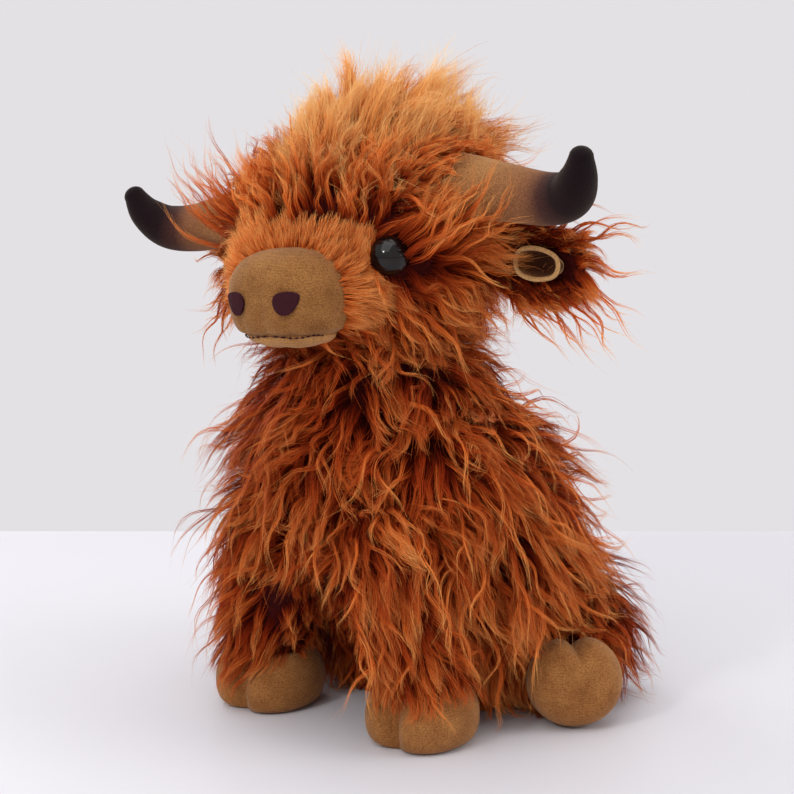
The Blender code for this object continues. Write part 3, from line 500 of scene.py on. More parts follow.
class Paint:
    """Nodes of one material, made and joined by short calls."""

    def __init__(self, name: str) -> None:
        """Starts a material with one Principled shader."""
        self.material = bpy.data.materials.new(name)
        self.material.use_nodes = True
        self.tree = self.material.node_tree
        self.shader = self.tree.nodes["Principled BSDF"]

    def node(self, kind: str, **settings: object) -> bpy.types.Node:
        """A node with its settings and input values.

        Args:
            kind: the node's type name.
            **settings: attributes, or inputs where the key starts with in_.

        Returns:
            The node.
        """
        made = self.tree.nodes.new(kind)
        for key, value in settings.items():
            if key.startswith("in_"):
                name = key[3:].replace("_", " ")
                made.inputs[int(name) if name.isdigit() else name].default_value = value
            else:
                setattr(made, key, value)
        return made

    def join(self, source: bpy.types.NodeSocket, target: bpy.types.NodeSocket) -> None:
        """Joins two sockets."""
        self.tree.links.new(source, target)

    def ramp(
        self, factor: bpy.types.NodeSocket, stops: list[tuple[float, tuple]]
    ) -> bpy.types.NodeSocket:
        """A colour ramp on a value.

        Args:
            factor: the value.
            stops: places and colours.

        Returns:
            The ramp's colour.
        """
        made = self.node("ShaderNodeValToRGB")
        elements = made.color_ramp.elements
        while len(elements) < len(stops):
            elements.new(0.5)
        for element, (place, colour) in zip(elements, stops):
            element.position = place
            element.color = (*colour, 1.0)
        self.join(factor, made.inputs["Fac"])
        return made.outputs["Color"]

    def mixed(
        self, factor: float | bpy.types.NodeSocket, a: object, b: object, way: str = "MIX"
    ) -> bpy.types.NodeSocket:
        """Two colours mixed.

        Args:
            factor: share of the second colour.
            a: the first colour or socket.
            b: the second colour or socket.
            way: the blend type.

        Returns:
            The mixed colour.
        """
        made = self.node("ShaderNodeMix", data_type="RGBA", blend_type=way)
        for value, socket in ((factor, made.inputs[0]), (a, made.inputs[6]), (b, made.inputs[7])):
            if isinstance(value, bpy.types.NodeSocket):
                self.join(value, socket)
            elif isinstance(value, tuple):
                socket.default_value = (*value, 1.0)
            else:
                socket.default_value = value
        return made.outputs[2]

    def object_place(self) -> bpy.types.NodeSocket:
        """Places in the object's own space."""
        return self.node("ShaderNodeTexCoord").outputs["Object"]

    def noise(self, size: float, detail: float = 3.0, place: object = None) -> bpy.types.NodeSocket:
        """Soft noise with patches of a real size.

        Args:
            size: the size of its patches in metres.
            detail: how many finer layers it has.
            place: where it is read; the object's own space if left out.

        Returns:
            The noise's value.
        """
        made = self.node("ShaderNodeTexNoise", in_Scale=1 / size, in_Detail=detail)
        self.join(place or self.object_place(), made.inputs["Vector"])
        return made.outputs["Fac"]

    def bump(self, height: bpy.types.NodeSocket, distance: float, strength: float = 1.0) -> None:
        """Raises the surface by a value.

        Args:
            height: the value.
            distance: how far one stands for, in metres.
            strength: share of the effect.
        """
        made = self.node("ShaderNodeBump", in_Distance=distance, in_Strength=strength)
        self.join(height, made.inputs["Height"])
        self.join(made.outputs["Normal"], self.shader.inputs["Normal"])

    def value(self, name: str, value: object) -> None:
        """Sets one of the shader's own values."""
        self.shader.inputs[name].default_value = (*value, 1.0) if isinstance(
            value, tuple
        ) else value

    def surface(self, roughness: float, specular: float) -> None:
        """Sets how rough the surface is and how much it mirrors."""
        self.value("Roughness", roughness)
        self.value("Specular IOR Level", specular)

    def sheen(self, weight: float, roughness: float, tint: tuple) -> None:
        """Gives the surface the soft glow of pile."""
        for name, value in (("Weight", weight), ("Roughness", roughness), ("Tint", tint)):
            self.value(f"Sheen {name}", value)

    def attribute(self, name: str) -> bpy.types.NodeSocket:
        """A value that the mesh carries."""
        return self.node("ShaderNodeAttribute", attribute_name=name).outputs["Fac"]

    def bands(self, scale: float, way: str, distortion: float) -> bpy.types.NodeSocket:
        """Wavy stripes in the object's own space.

        Args:
            scale: how close they lie.
            way: the direction's name.
            distortion: how wavy they are.

        Returns:
            The stripes' value.
        """
        made = self.node("ShaderNodeTexWave", wave_type="BANDS", bands_direction=way)
        for name, value in (("Scale", scale), ("Distortion", distortion), ("Detail", 2.0)):
            made.inputs[name].default_value = value
        self.join(self.object_place(), made.inputs["Vector"])
        return made.outputs["Fac"]

    def colour(self, source: bpy.types.NodeSocket) -> None:
        """Joins a colour to the shader."""
        self.join(source, self.shader.inputs["Base Color"])


@dataclass(frozen=True)
class FurFinish:
    """Colours of fur strands from root to tip, in dark locks and in light ones: the near-black root
    ends are painted shade deep in the fur, and the golden tips are painted light.
    """

    name: str
    slot: str
    dark: tuple
    light: tuple
    roughness: float = 0.46
    sheen: float = 0.0

    def strand_material(self) -> bpy.types.Material:
        """The strands' material, which reads each strand's tone and the place along it."""
        found = bpy.data.materials.get(self.name)
        if found:
            return found
        paint = Paint(self.name)
        along = paint.attribute("strand_t")
        # Along each strand: painted shade toward the root, painted light toward the tip.
        dark, light = (paint.ramp(along, list(stops)) for stops in (self.dark, self.light))
        paint.colour(paint.mixed(paint.attribute("strand_tone"), dark, light))
        paint.surface(self.roughness, 0.08)
        paint.value("Specular Tint", (1.0, 0.42, 0.16))
        paint.sheen(self.sheen, 0.4, (1.0, 0.36, 0.12))
        return paint.material

    def skin_material(self) -> bpy.types.Material:
        """The backing and underwool seen between the locks, coloured from the strands' root ends,
        so it holds their painted shade.
        """
        name = self.name + "_backing"
        found = bpy.data.materials.get(name)
        if found:
            return found
        paint = Paint(name)
        wool = paint.noise(1.6 * MM, 4.0)
        patches = paint.noise(14 * MM, 2.0)
        # The root colour is painted shade; the darkest wool is half of it.
        root = self.dark[0][1]
        base = paint.ramp(wool, [(0.3, tuple(c * 0.5 for c in root)), (0.7, self.light[0][1])])
        paint.colour(paint.mixed(patches, base, root))
        paint.surface(0.9, 0.1)
        paint.bump(wool, 1.2 * MM)
        return paint.material


@dataclass(frozen=True)
class VelourFinish:
    """Short velour: fine nap in rows, worn patches and a soft sheen."""

    name: str
    dark: tuple[float, float, float]
    light: tuple[float, float, float]
    nap: float = 0.62 * MM
    row: float = 1.1 * MM
    ribs: float = 0.14
    sheen: float = 0.2

    def material(self, stops: list[tuple[float, tuple]] | None = None) -> bpy.types.Material:
        """The velour's material.

        Args:
            stops: places and colours along the piece, for a shaded piece.

        Returns:
            The material.
        """
        found = bpy.data.materials.get(self.name)
        if found:
            return found
        paint = Paint(self.name)
        nap = paint.noise(self.nap, 3.0)
        patches = paint.noise(9 * MM, 3.0)
        rows = paint.bands(0.314 / self.row, "Z", 5.0)
        if stops:
            base = paint.ramp(paint.attribute("along"), stops)
        else:
            base = paint.ramp(patches, [(0.3, self.dark), (0.72, self.light)])
        pale = paint.mixed(1.0, base, (1.0, 0.98, 0.92), "MULTIPLY")
        deep = paint.mixed(1.0, base, (0.60, 0.52, 0.46), "MULTIPLY")
        specks = paint.ramp(nap, [(0.34, (0.0,) * 3), (0.62, (1.0,) * 3)])
        speckled = paint.mixed(specks, deep, pale)
        stripe = paint.ramp(rows, [(0.2, (0.55, 0.5, 0.45)), (0.8, (1.0, 1.0, 1.0))])
        paint.colour(paint.mixed(self.ribs, speckled, stripe, "MULTIPLY"))
        paint.bump(paint.mixed(self.ribs, nap, rows), 0.35 * MM, 0.8)
        paint.surface(0.85, 0.1)
        paint.sheen(self.sheen, 0.45, (0.95, 0.82, 0.62))
        return paint.material


def stitching() -> bpy.types.Material:
    """Dark satin stitches of the nostrils and the mouth."""
    found = bpy.data.materials.get("stitching")
    if found:
        return found
    thread = Paint("stitching")
    stitches = thread.bands(620.0, "DIAGONAL", 2.0)
    shades = [(0.1, (0.030, 0.006, 0.010)), (0.9, (0.052, 0.011, 0.017))]
    thread.colour(thread.ramp(stitches, shades))
    thread.surface(0.85, 0.1)
    thread.bump(stitches, 0.12 * MM)
    return thread.material


# Root stops are painted shade deep in the fur; the golden tip stops are painted light.
LONG_FUR = FurFinish(
    "strands_long",
    "long_fur",
    dark=(
        (0.0, (0.032, 0.002, 0.002)), (0.30, (0.15, 0.010, 0.003)), (0.65, (0.36, 0.036, 0.006)),
        (1.0, (0.58, 0.115, 0.020)),
    ),
    light=(
        (0.0, (0.08, 0.005, 0.002)), (0.30, (0.42, 0.044, 0.007)), (0.65, (0.86, 0.205, 0.035)),
        (1.0, (1.0, 0.52, 0.16)),
    ),
    sheen=0.14,
)
# Paler crown fur, again with painted shade at the roots and painted light at the tips.
CROWN_FUR = FurFinish(
    "strands_crown",
    "crown_fur",
    dark=((0.0, (0.20, 0.026, 0.006)), (0.4, (0.60, 0.140, 0.022)), (1.0, (0.95, 0.40, 0.095))),
    light=((0.0, (0.42, 0.085, 0.016)), (0.4, (0.98, 0.40, 0.085)), (1.0, (1.0, 0.74, 0.32))),
    sheen=0.3,
)
# The muzzle's velour made lighter for the hooves, to offset the shade they sit in: painted light.
HOOF_VELOUR = VelourFinish("nap_hoof", (0.32, 0.128, 0.038), (0.45, 0.200, 0.064), ribs=0.2)
MUZZLE_VELOUR = VelourFinish("nap_muzzle", (0.27, 0.112, 0.032), (0.39, 0.182, 0.058), ribs=0.2)
HORN_VELOUR = VelourFinish(
    "nap_horn", (0.3, 0.14, 0.05), (0.3, 0.14, 0.05), nap=0.6 * MM, ribs=0.06, sheen=0.12
)
LIP_VELOUR = VelourFinish("nap_lip", (0.46, 0.22, 0.075), (0.60, 0.32, 0.12))
EAR_VELOUR = VelourFinish("nap_ear", (0.34, 0.16, 0.055), (0.52, 0.29, 0.12))
# Painted light and shade by depth in the ear's cup: pale at the edge, then painted shade darkening
# to near black in the hollow.
EAR_CUP_LIGHT_AND_SHADE = (
    (0.0, (0.62, 0.36, 0.155)),
    (0.22, (0.40, 0.19, 0.070)),
    (0.6, (0.13, 0.042, 0.014)),
    (1.0, (0.045, 0.012, 0.005)),
)


@dataclass(frozen=True)
class Coat:
    """How one area of fur grows: strands gather in locks, and locks in tufts."""

    spacing: float
    strands: int
    length: float
    tuft: float = 11 * MM
    gather: float = 0.6
    uneven: float = 0.25
    lift: float = 0.6
    rest_lift: float = 0.10
    wave: float = 0.6
    wavelength: float = 38 * MM
    gravity: float = 0.45
    clump: float = 0.86
    spread: float = 3.0 * MM
    frizz: float = 0.9 * MM
    loose: float = 0.14
    width: float = 0.27 * MM
    segments: int = 8
    stray: float = 0.28


# Thin locks that curl above the rest of the fur, made pale in grow_wisps as painted light.
WISPS = Coat(
    8.6 * MM, 13, 42 * MM, tuft=40 * MM, gather=0.0, uneven=0.4, lift=1.0, rest_lift=0.24, wave=1.2,
    wavelength=31 * MM, gravity=0.27, clump=0.93, spread=1.8 * MM, frizz=0.8 * MM, loose=0.12,
    width=0.24 * MM, segments=10, stray=0.8,
)


@dataclass
class Fur:
    """Grows fur as mesh strands, clumped in wavy locks."""

    name: str
    coat: Coat
    finish: FurFinish
    body: str
    rng: np.random.Generator
    obstacles: list = field(default_factory=list)
    drops: list = field(default_factory=list)
    under: float = 1.2 * MM

    def guides(self, roots: Roots, wild: float = 1.0) -> Array:
        """The middle line of each lock.

        Args:
            roots: where the locks start and how they are combed.
            wild: how much they stray, wave and stand.

        Returns:
            An array of locks by points by three.
        """
        coat = self.coat
        rng = self.rng
        count = len(roots.place)
        comb = turned(roots.comb, roots.normal, rng.normal(size=count) * coat.stray * wild)
        across = np.cross(roots.normal, comb)
        length = roots.length * coat.length * (1 + coat.uneven * (2 * rng.random(count) - 1))
        step = (length / coat.segments)[:, None]
        phase = rng.random(count) * math.tau
        amount = coat.wave * (0.5 + rng.random(count)) * wild
        turns = length / (coat.wavelength * (0.7 + 0.6 * rng.random(count)))
        lift = np.where(
            roots.lift > 0, roots.lift, coat.lift
        ) + rng.normal(size=count) * 0.16 * wild
        flick = coat.rest_lift + rng.normal(size=count) * 0.12 * wild
        place = roots.place - roots.normal * self.under
        points = [place]
        for k in range(coat.segments):
            s = (k + 0.5) / coat.segments
            swing = np.sin(math.tau * turns * s + phase) * amount * min(1.0, 2.5 * s)
            roll = np.cos(math.tau * turns * s + phase) * amount * 0.5 * min(1.0, 2 * s)
            rise = lift * (1 - s) ** 1.3 + flick + roll
            flat = comb * np.cos(swing)[:, None] + across * np.sin(swing)[:, None]
            ahead = flat * np.cos(rise)[:, None] + roots.normal * np.sin(rise)[:, None]
            ahead = unit(ahead - UP * coat.gravity * s)
            place = place + ahead * step
            for thing in self.obstacles:
                place = thing.pushed(place, (0.4 + 3.0 * s) * MM)
            place[:, 2] = np.maximum(place[:, 2], FLOOR_CLEARANCE + 1.5 * MM * (1 - s))
            points.append(place)
        return np.stack(points, axis=1)

    def locks(self, roots: Roots) -> tuple[Array, Array]:
        """The locks' lines, drawn together into tufts.

        Args:
            roots: evenly spread roots, whose first ones are evenly spread as well.

        Returns:
            The lines, and the tone that each takes from its tuft.
        """
        coat = self.coat
        tufts = max(int(len(roots.place) * (coat.spacing / coat.tuft) ** 2), 1)
        first = np.arange(len(roots.place)) < tufts
        parents = self.guides(roots.kept(first))
        lines = self.guides(roots, 0.45)
        apart = np.linalg.norm(roots.place[:, None] - roots.place[None, first], axis=2)
        nearest = np.argmin(apart, axis=1)
        t = np.linspace(0, 1, coat.segments + 1)
        near = np.clip(1.4 - apart.min(axis=1) / coat.tuft, 0, 1)
        pull = coat.gather * near[:, None] * t[None, :] ** 0.75
        lines = lines + (parents[nearest] - lines) * pull[:, :, None]
        tone = self.rng.normal(size=tufts)[nearest] * 0.11
        return lines, tone

    def grow(self, roots: Roots) -> list[bpy.types.Object]:
        """Grows the fur and makes its pieces.

        Args:
            roots: where the locks start.

        Returns:
            The pieces, riding on their body.
        """
        coat = self.coat
        rng = self.rng
        lines, tuft_tone = self.locks(roots)
        clear = np.ones(len(lines), bool)
        for thing in self.drops:
            for k in range(1, lines.shape[1]):
                clear &= ~thing.holds(lines[:, k])
        lines = lines[clear]
        tuft_tone = tuft_tone[clear]
        roots = roots.kept(clear)
        locks = len(lines)
        owner = np.repeat(np.arange(locks), coat.strands)
        count = len(owner)
        line = lines[owner]
        normal = roots.normal[owner]
        comb = roots.comb[owner]
        across = np.cross(normal, comb)
        angle = rng.random(count) * math.tau
        reach = np.sqrt(rng.random(count)) * coat.spread
        offset = across * (reach * np.cos(angle))[:, None] + comb * (reach * np.sin(angle))[:, None]
        loose = rng.random(count) < coat.loose
        short = 1 - 0.40 * rng.random(count) ** 1.3
        short[loose] *= 1.22
        frizz = rng.normal(size=(count, 3)) * coat.frizz
        frizz[loose] *= 3.2
        t = np.linspace(0, 1, coat.segments + 1)
        place = t[None, :] * short[:, None] * coat.segments
        index = np.minimum(place.astype(int), coat.segments - 1)
        part = (place - index)[:, :, None]
        rows = np.arange(count)[:, None]
        centre = line[rows, index] * (1 - part) + line[rows, index + 1] * part
        gather = np.where(loose, 0.2, coat.clump * (0.75 + 0.25 * rng.random(count)))
        keep = 1 - gather[:, None] * t[None, :] ** 0.9
        sweep = np.sin(
            math.pi * (t[None, :] * (1 + rng.random(count)[:, None]) + rng.random(count)[:, None])
        )
        centre = centre + offset[:, None, :] * keep[:, :, None]
        centre += frizz[:, None, :] * (t[None, :] * (0.4 + 0.6 * sweep))[:, :, None]
        centre[:, :, 2] = np.maximum(centre[:, :, 2], FLOOR_CLEARANCE)
        along = unit(np.gradient(centre, axis=1))
        chord = unit(centre[:, -1] - centre[:, 0])
        facing = unit(normal + rng.normal(size=(count, 3)) * 0.55)
        side = unit(np.cross(chord, facing))[:, None, :]
        side = unit(side - along * dot(side, along)[:, :, None])
        width = coat.width * (
            0.7 + 0.6 * rng.random(count)
        )[:, None] * (1 - 0.9 * t[None, :] ** 2.2)
        tone = (roots.tone + tuft_tone + rng.normal(size=locks) * 0.07)[owner]
        tone = tone + rng.normal(size=count) * 0.06
        return self.pieces(centre, side, width, t, np.clip(tone, 0.02, 0.98))

    def grow_wisps(
        self, roots: Roots, spacing: float, scale: float | Array, dense: float = 1.0
    ) -> None:
        """Grows curling locks above the fur, made pale as painted light.

        Args:
            roots: combed roots, of which a few bear one.
            spacing: mean distance between those roots.
            scale: their length beside a wisp's full length.
            dense: how many there are beside the usual number.
        """
        share = (spacing / WISPS.spacing) ** 2 * dense
        roots = replace(roots, length=roots.length * scale)
        few = roots.kept(self.rng.random(len(roots.place)) < share)
        # Painted light: the wisps' tone is raised toward the pale, golden end.
        few.tone = np.clip(few.tone + 0.45, 0.4, 0.98)
        few.lift = np.zeros(len(few.place))
        replace(self, name=f"{self.name}_wisps", coat=WISPS).grow(few)

    def pieces(
        self, centre: Array, side: Array, width: Array, t: Array, tone: Array
    ) -> list[bpy.types.Object]:
        """Makes ribbon meshes of a limited size.

        Args:
            centre: the middle of each strand.
            side: the way its width lies.
            width: its width along it.
            t: share of the way to the tip.
            tone: the colour tone of each strand.

        Returns:
            The pieces.
        """
        made = []
        half = side * (width / 2)[:, :, None]
        column = np.minimum((tone * TONES).astype(int), TONES - 1)
        for number, start in enumerate(range(0, len(centre), STRANDS_PER_PIECE)):
            cut = slice(start, start + STRANDS_PER_PIECE)
            points = np.stack([centre[cut] - half[cut], centre[cut] + half[cut]], axis=2)
            made.append(self.piece(f"fur_{self.name}_{number + 1}", points, t, column[cut]))
        return made

    def piece(self, name: str, points: Array, t: Array, column: Array) -> bpy.types.Object:
        """One mesh of ribbons."""
        count, rows = points.shape[:2]
        first = np.arange(count)[:, None] * rows * 2 + np.arange(rows - 1)[None, :] * 2
        quads = np.stack([first, first + 1, first + 3, first + 2], axis=2)
        data = bpy.data.meshes.new(name)
        data.vertices.add(count * rows * 2)
        data.vertices.foreach_set("co", points.reshape(-1).astype(np.float32))
        data.loops.add(quads.size)
        data.loops.foreach_set("vertex_index", quads.reshape(-1).astype(np.int32))
        data.polygons.add(quads.size // 4)
        data.polygons.foreach_set("loop_start", np.arange(0, quads.size, 4, dtype=np.int32))
        data.update(calc_edges=True)
        data.shade_smooth()
        values = (column + 0.5) / TONES
        for label, array in (
            ("strand_t", np.broadcast_to(t[None, :, None], (count, rows, 2))),
            ("strand_tone", np.broadcast_to(values[:, None, None], (count, rows, 2))),
        ):
            layer = data.attributes.new(label, "FLOAT", "POINT")
            layer.data.foreach_set(
                "value", np.ascontiguousarray(array, dtype=np.float32).reshape(-1)
            )
        u = (column[:, None, None] + np.array((0.15, 0.85, 0.85, 0.15))[None, None, :]) / TONES
        u = np.broadcast_to(u, (count, rows - 1, 4))
        v = np.stack([t[:-1], t[:-1], t[1:], t[1:]], axis=1) * 0.98 + 0.01
        v = np.broadcast_to(v[None], (count, rows - 1, 4))
        layer = data.uv_layers.new(name="OFBake")
        layer.data.foreach_set("uv", np.stack([u, v], axis=3).reshape(-1).astype(np.float32))
        data.materials.append(self.finish.strand_material())
        made = bpy.data.objects.new(name, data)
        bpy.context.scene.collection.objects.link(made)
        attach(made, self.body)
        LOG.info("%s: %d strands", name, count)
        return made


def settled(
    made: bpy.types.Object, body: str, slot: str, *nodes: str, fill: float | None = None
) -> bpy.types.Object:
    """Puts a finished piece on its body in place of its solids.

    Args:
        made: the piece.
        body: the body that it rides on.
        slot: the record's material slot; not used.
        *nodes: the solids that it stands for.
        fill: how full its stuffing is, if it is stuffed; not used.

    Returns:
        The piece.
    """
    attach(made, body)
    if nodes:
        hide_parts(*nodes)
    LOG.info("%s rides on %s", made.name, body)
    return made


@dataclass
class Torso:
    """The body: a pear of long fur that leans back from the neck to the seat."""

    neck_height: float = 135 * MM
    neck_setback: float = -10 * MM
    neck_radius: float = 46 * MM
    width: float = 142 * MM
    depth: float = 130 * MM
    lean: float = 46 * MM
    pile: float = 8 * MM
    arch_heights: tuple = (48, 37, 26, 15, 5)
    arch_balls: tuple = (  # across, along and radius in mm: no fur hangs between the front legs
        (0, -46, 14),
        (-12, -57, 10),
        (12, -57, 10),
        (0, -64, 12),
        (-20, -56, 7),
        (20, -56, 7),
        (-24, -65, 7),
        (24, -65, 7),
    )
    shares: tuple = (
        (0.0, 0.66, 0.60, 1.07),
        (0.06, 0.76, 0.71, 1.06),
        (0.19, 0.86, 0.80, 1.0),
        (0.37, 0.97, 0.93, 0.76),
        (0.56, 1.0, 1.0, 0.54),
        (0.74, 0.93, 0.97, 0.37),
        (0.90, 0.83, 0.875, 0.17),
        (0.985, 0.72, 0.755, 0.04),
    )
    coat: Coat = Coat(
        4.3 * MM, 25, 38 * MM, lift=0.85, rest_lift=0.17, wave=1.15, wavelength=25 * MM,
        spread=2.7 * MM, tuft=12 * MM, gravity=0.30, clump=0.93, width=0.235 * MM, loose=0.15,
        stray=0.62, uneven=0.4,
    )

    def form(self, inset: float) -> SweptForm:
        """The body's form, drawn in by an inset."""
        rows = []
        for height, half, deep, back in self.shares:
            place = self.neck_setback + self.lean * back
            size = (self.width / 2 * half - inset, self.depth / 2 * deep - inset)
            rows.append((self.neck_height * height, 0, place, *size))
        for degrees in (14, 27, 40, 52, 62):
            angle = math.radians(degrees)
            reach = (self.neck_radius - inset) * math.cos(angle)
            height = self.neck_height + (self.neck_radius - inset) * math.sin(angle)
            rows.append((height, 0, self.neck_setback, reach, reach))
        return SweptForm(np.array(rows), BODY_FRAME)

    def skin(self) -> bpy.types.Object:
        """The backing under the fur."""
        grid = self.form(self.pile).rings(*SKIN_STEPS)
        made = capped("body_skin", grid, LONG_FUR.skin_material())
        return settled(made, "body", "long_fur", "body_cover", "body_stuffing", fill=0.8)

    def arch(self) -> list[Ball]:
        """Balls that keep the space between the front legs free of fur."""
        places = [(x, y, z, r) for z in self.arch_heights for x, y, r in self.arch_balls]
        return [
            Ball(moved_point(BODY_FRAME, (x * MM, y * MM, z * MM)), r * MM) for x, y, z, r in places
        ]

    def comb(self, roots: Roots, rng: np.random.Generator) -> Roots:
        """Combs the fur down, and backward on the flanks."""
        noise = SmoothNoise(30 * MM, rng)
        middle = moved_point(BODY_FRAME, (0, 20 * MM, 80 * MM))
        flank = np.clip(np.abs(roots.place[:, 0] - middle[0]) / (60 * MM), 0, 1)
        rear = np.clip((roots.place[:, 1] - middle[1]) / (50 * MM) + 0.5, 0, 1)
        wanted = -UP + BACK * (0.75 * flank * rear)[:, None]
        roots.comb = turned(
            on_surface(wanted, roots.normal), roots.normal, noise.at(roots.place) * 0.8
        )
        height = roots.place[:, 2] / self.neck_height
        roots.length = np.interp(height, [0, 0.12, 0.35, 0.8, 1.2], [0.45, 0.7, 1.0, 1.0, 0.8])
        ahead = np.clip((middle[1] - 12 * MM - roots.place[:, 1]) / (20 * MM), 0, 1)
        arch = ahead * np.clip((84 * MM - roots.place[:, 2]) / (20 * MM), 0, 1)
        arch = arch * np.clip(2.4 - np.abs(roots.place[:, 0] - middle[0]) / (20 * MM), 0, 1)
        roots.length = roots.length * (1 - 0.76 * arch)
        patches = SmoothNoise(24 * MM, rng)
        # Besides random patches, the tone holds painted shade: darker on the chest, darker still in
        # the arch between the front legs.
        chest = np.clip((middle[1] - roots.place[:, 1]) / (50 * MM), 0, 1)
        roots.tone = 0.50 + 0.26 * patches.at(roots.place + 1.0) - 0.48 * chest - 0.4 * arch
        return roots


@dataclass
class Head:
    """The head: short fur on the face, upright locks on the brow and long cheeks."""

    depth: float = 105 * MM
    width: float = 113 * MM
    tall: float = 102 * MM
    back: float = 52 * MM
    middle: float = 204 * MM
    neck_setback: float = -10 * MM
    pile: float = 6.5 * MM
    shares: tuple = (
        (0.035, 0.34, 0.36, 0.995),
        (0.13, 0.66, 0.70, 0.995),
        (0.28, 0.90, 0.92, 1.0),
        (0.46, 1.0, 1.0, 1.0),
        (0.61, 0.975, 0.98, 0.99),
        (0.76, 0.82, 0.84, 0.966),
        (0.89, 0.645, 0.61, 0.93),
        (1.0, 0.50, 0.43, 0.888),
    )
    brow: Coat = Coat(
        3.3 * MM, 22, 27 * MM, tuft=9 * MM, lift=0.75, rest_lift=0.34, wave=1.3, wavelength=20 * MM,
        gravity=0.02, spread=2.3 * MM, stray=0.6, uneven=0.4, clump=0.93, width=0.235 * MM,
    )
    cheek: Coat = Coat(
        3.6 * MM, 23, 33 * MM, tuft=10 * MM, lift=0.7, rest_lift=0.14, wave=1.15,
        wavelength=25 * MM, gravity=0.2, spread=2.8 * MM, stray=0.45, uneven=0.3, clump=0.9,
        width=0.24 * MM,
    )
    nape_locks: int = 90
    finest: float = 1.75 * MM  # between the roots that every area picks from
    wisp: float = 0.72  # of a wisp's full length
    clearing: tuple = (0.55, 0.5)  # how far the fur is parted round the left and the right eye
    temple: Coat = Coat(
        3.4 * MM, 17, 50 * MM, tuft=9 * MM, gather=0.4, lift=0.95, rest_lift=0.30, wave=1.1,
        wavelength=26 * MM, gravity=0.16, spread=1.8 * MM, stray=0.45, uneven=0.35, clump=0.94,
        width=0.24 * MM,
    )
    bridge: Coat = Coat(
        1.75 * MM, 26, 8.5 * MM, lift=0.85, rest_lift=0.30, wave=0.15, clump=0.12, spread=1.9 * MM,
        frizz=0.4 * MM, width=0.22 * MM, segments=5, stray=0.2, gravity=0.0, tuft=5 * MM,
        gather=0.15, uneven=0.15, loose=0.06,
    )

    def form(self, inset: float) -> SweptForm:
        """The head's form, drawn in by an inset, from its back to the muzzle's seam."""
        rows = []
        start = self.neck_setback + self.back
        for forward, half, high, centre in self.shares:
            place = start - self.depth * forward - inset * (1 - forward)
            size = (self.width / 2 * half - inset, self.tall / 2 * high - inset)
            rows.append((-place, 0, self.middle * centre, *size))
        axes = np.array((LEFT, UP, -BACK))
        return SweptForm(np.array(rows), HEAD_FRAME @ placed(axes, np.zeros(3)))

    def skin(self) -> bpy.types.Object:
        """The backing under the head's fur."""
        grid = self.form(self.pile).rings(*SKIN_STEPS)
        made = capped("head_skin", grid, LONG_FUR.skin_material())
        return settled(made, "head", "long_fur", "head_cover", "head_stuffing", fill=0.8)

    def comb(
        self, roots: Roots, eyes: list[Ball], rng: np.random.Generator
    ) -> tuple[Roots, Array, Array]:
        """Combs the fur and sorts its areas.

        Args:
            roots: roots over the whole head.
            eyes: the eyes, which the fur shortens and parts around.
            rng: where small differences come from.

        Returns:
            The combed roots, and masks of the brow and of the bridge over the muzzle.
        """
        centre = moved_point(HEAD_FRAME, (0, -13 * MM, 204 * MM))
        way = unit(roots.place - centre)
        side, forward, high = way[:, 0], -way[:, 1], way[:, 2]
        seam = centre[1] - 50 * MM
        from_seam = roots.place[:, 1] - seam
        above = roots.place[:, 2] - centre[2]
        edge = 2.5 * MM * SmoothNoise(9 * MM, rng).at(roots.place)
        bridge = (from_seam < 12 * MM + edge) & (high > -0.5) & (above < 3.5 * MM + edge)
        brow = (forward > 0.05) & (above > 2 * MM) & (np.abs(side) < 0.72) & ~bridge
        wanted = BACK * 0.9 + LEFT * (
            np.sign(side) * np.clip(np.abs(side) * 1.2, 0.1, 0.7)
        )[:, None]
        wanted = wanted - UP * np.interp(
            high, [-0.9, -0.4, 0.1, 0.5], [1.6, 1.0, 0.25, -0.3]
        )[:, None]
        behind = np.clip(-forward, 0, 1)[:, None]
        wanted = wanted * (1 - behind) - UP * 1.4 * behind
        up_way = UP + LEFT * (side * 0.9)[:, None] + BACK * 0.1
        wanted = np.where(brow[:, None], up_way, wanted)
        climb = np.interp(above, [-26 * MM, -14 * MM, 0], [-0.5, 0.1, 0.9])
        flow = UP * climb[:, None] + BACK * 0.5 + LEFT * (side * 1.2)[:, None]
        wanted = np.where(bridge[:, None], flow, wanted)
        noise = SmoothNoise(26 * MM, rng)
        combed = on_surface(wanted, roots.normal)
        roots.comb = turned(combed, roots.normal, noise.at(roots.place) * 0.35)
        near_seam = np.clip(from_seam / (30 * MM), 0, 1)
        cheeks = np.maximum(0.4 + 0.6 * near_seam, 0.95 * np.clip(-1.4 * high - 0.1, 0, 1))
        fringe = np.interp(above, [5 * MM, 12 * MM, 20 * MM, 34 * MM], [1.0, 1.0, 0.72, 0.5])
        roots.length = np.where(brow, fringe, cheeks)
        hanging = np.clip(-2.5 * side - 0.4, 0, 1)  # the far side's fur hides its eye
        lower = np.clip(-1.5 * high, 0, 0.8)
        roots.length = np.where(bridge, 1.0 + 0.9 * hanging + lower, roots.length)
        roots.lift = np.where(bridge & (hanging > 0.1), 1.35, roots.lift)
        patches = SmoothNoise(20 * MM, rng)
        # Besides random patches, the brow's upright locks are painted lighter: painted light.
        roots.tone = 0.36 + 0.20 * patches.at(roots.place + 2.0) + 0.26 * brow
        roots.tone = np.where(bridge, 0.80 - 0.3 * lower, roots.tone)
        for eye, clearing in zip(eyes, self.clearing):
            away = roots.place - eye.centre
            reach = np.linalg.norm(away, axis=1)
            beside = np.clip(1.9 - reach / (9.5 * MM), 0, 1) * clearing
            out = on_surface(unit(away), roots.normal)
            roots.comb = unit(
                roots.comb * (1 - 0.8 * beside[:, None]) + out * 0.8 * beside[:, None]
            )
            roots.length = roots.length * (1 - 0.5 * beside)
            roots.lift = np.maximum(roots.lift, beside * 0.5)
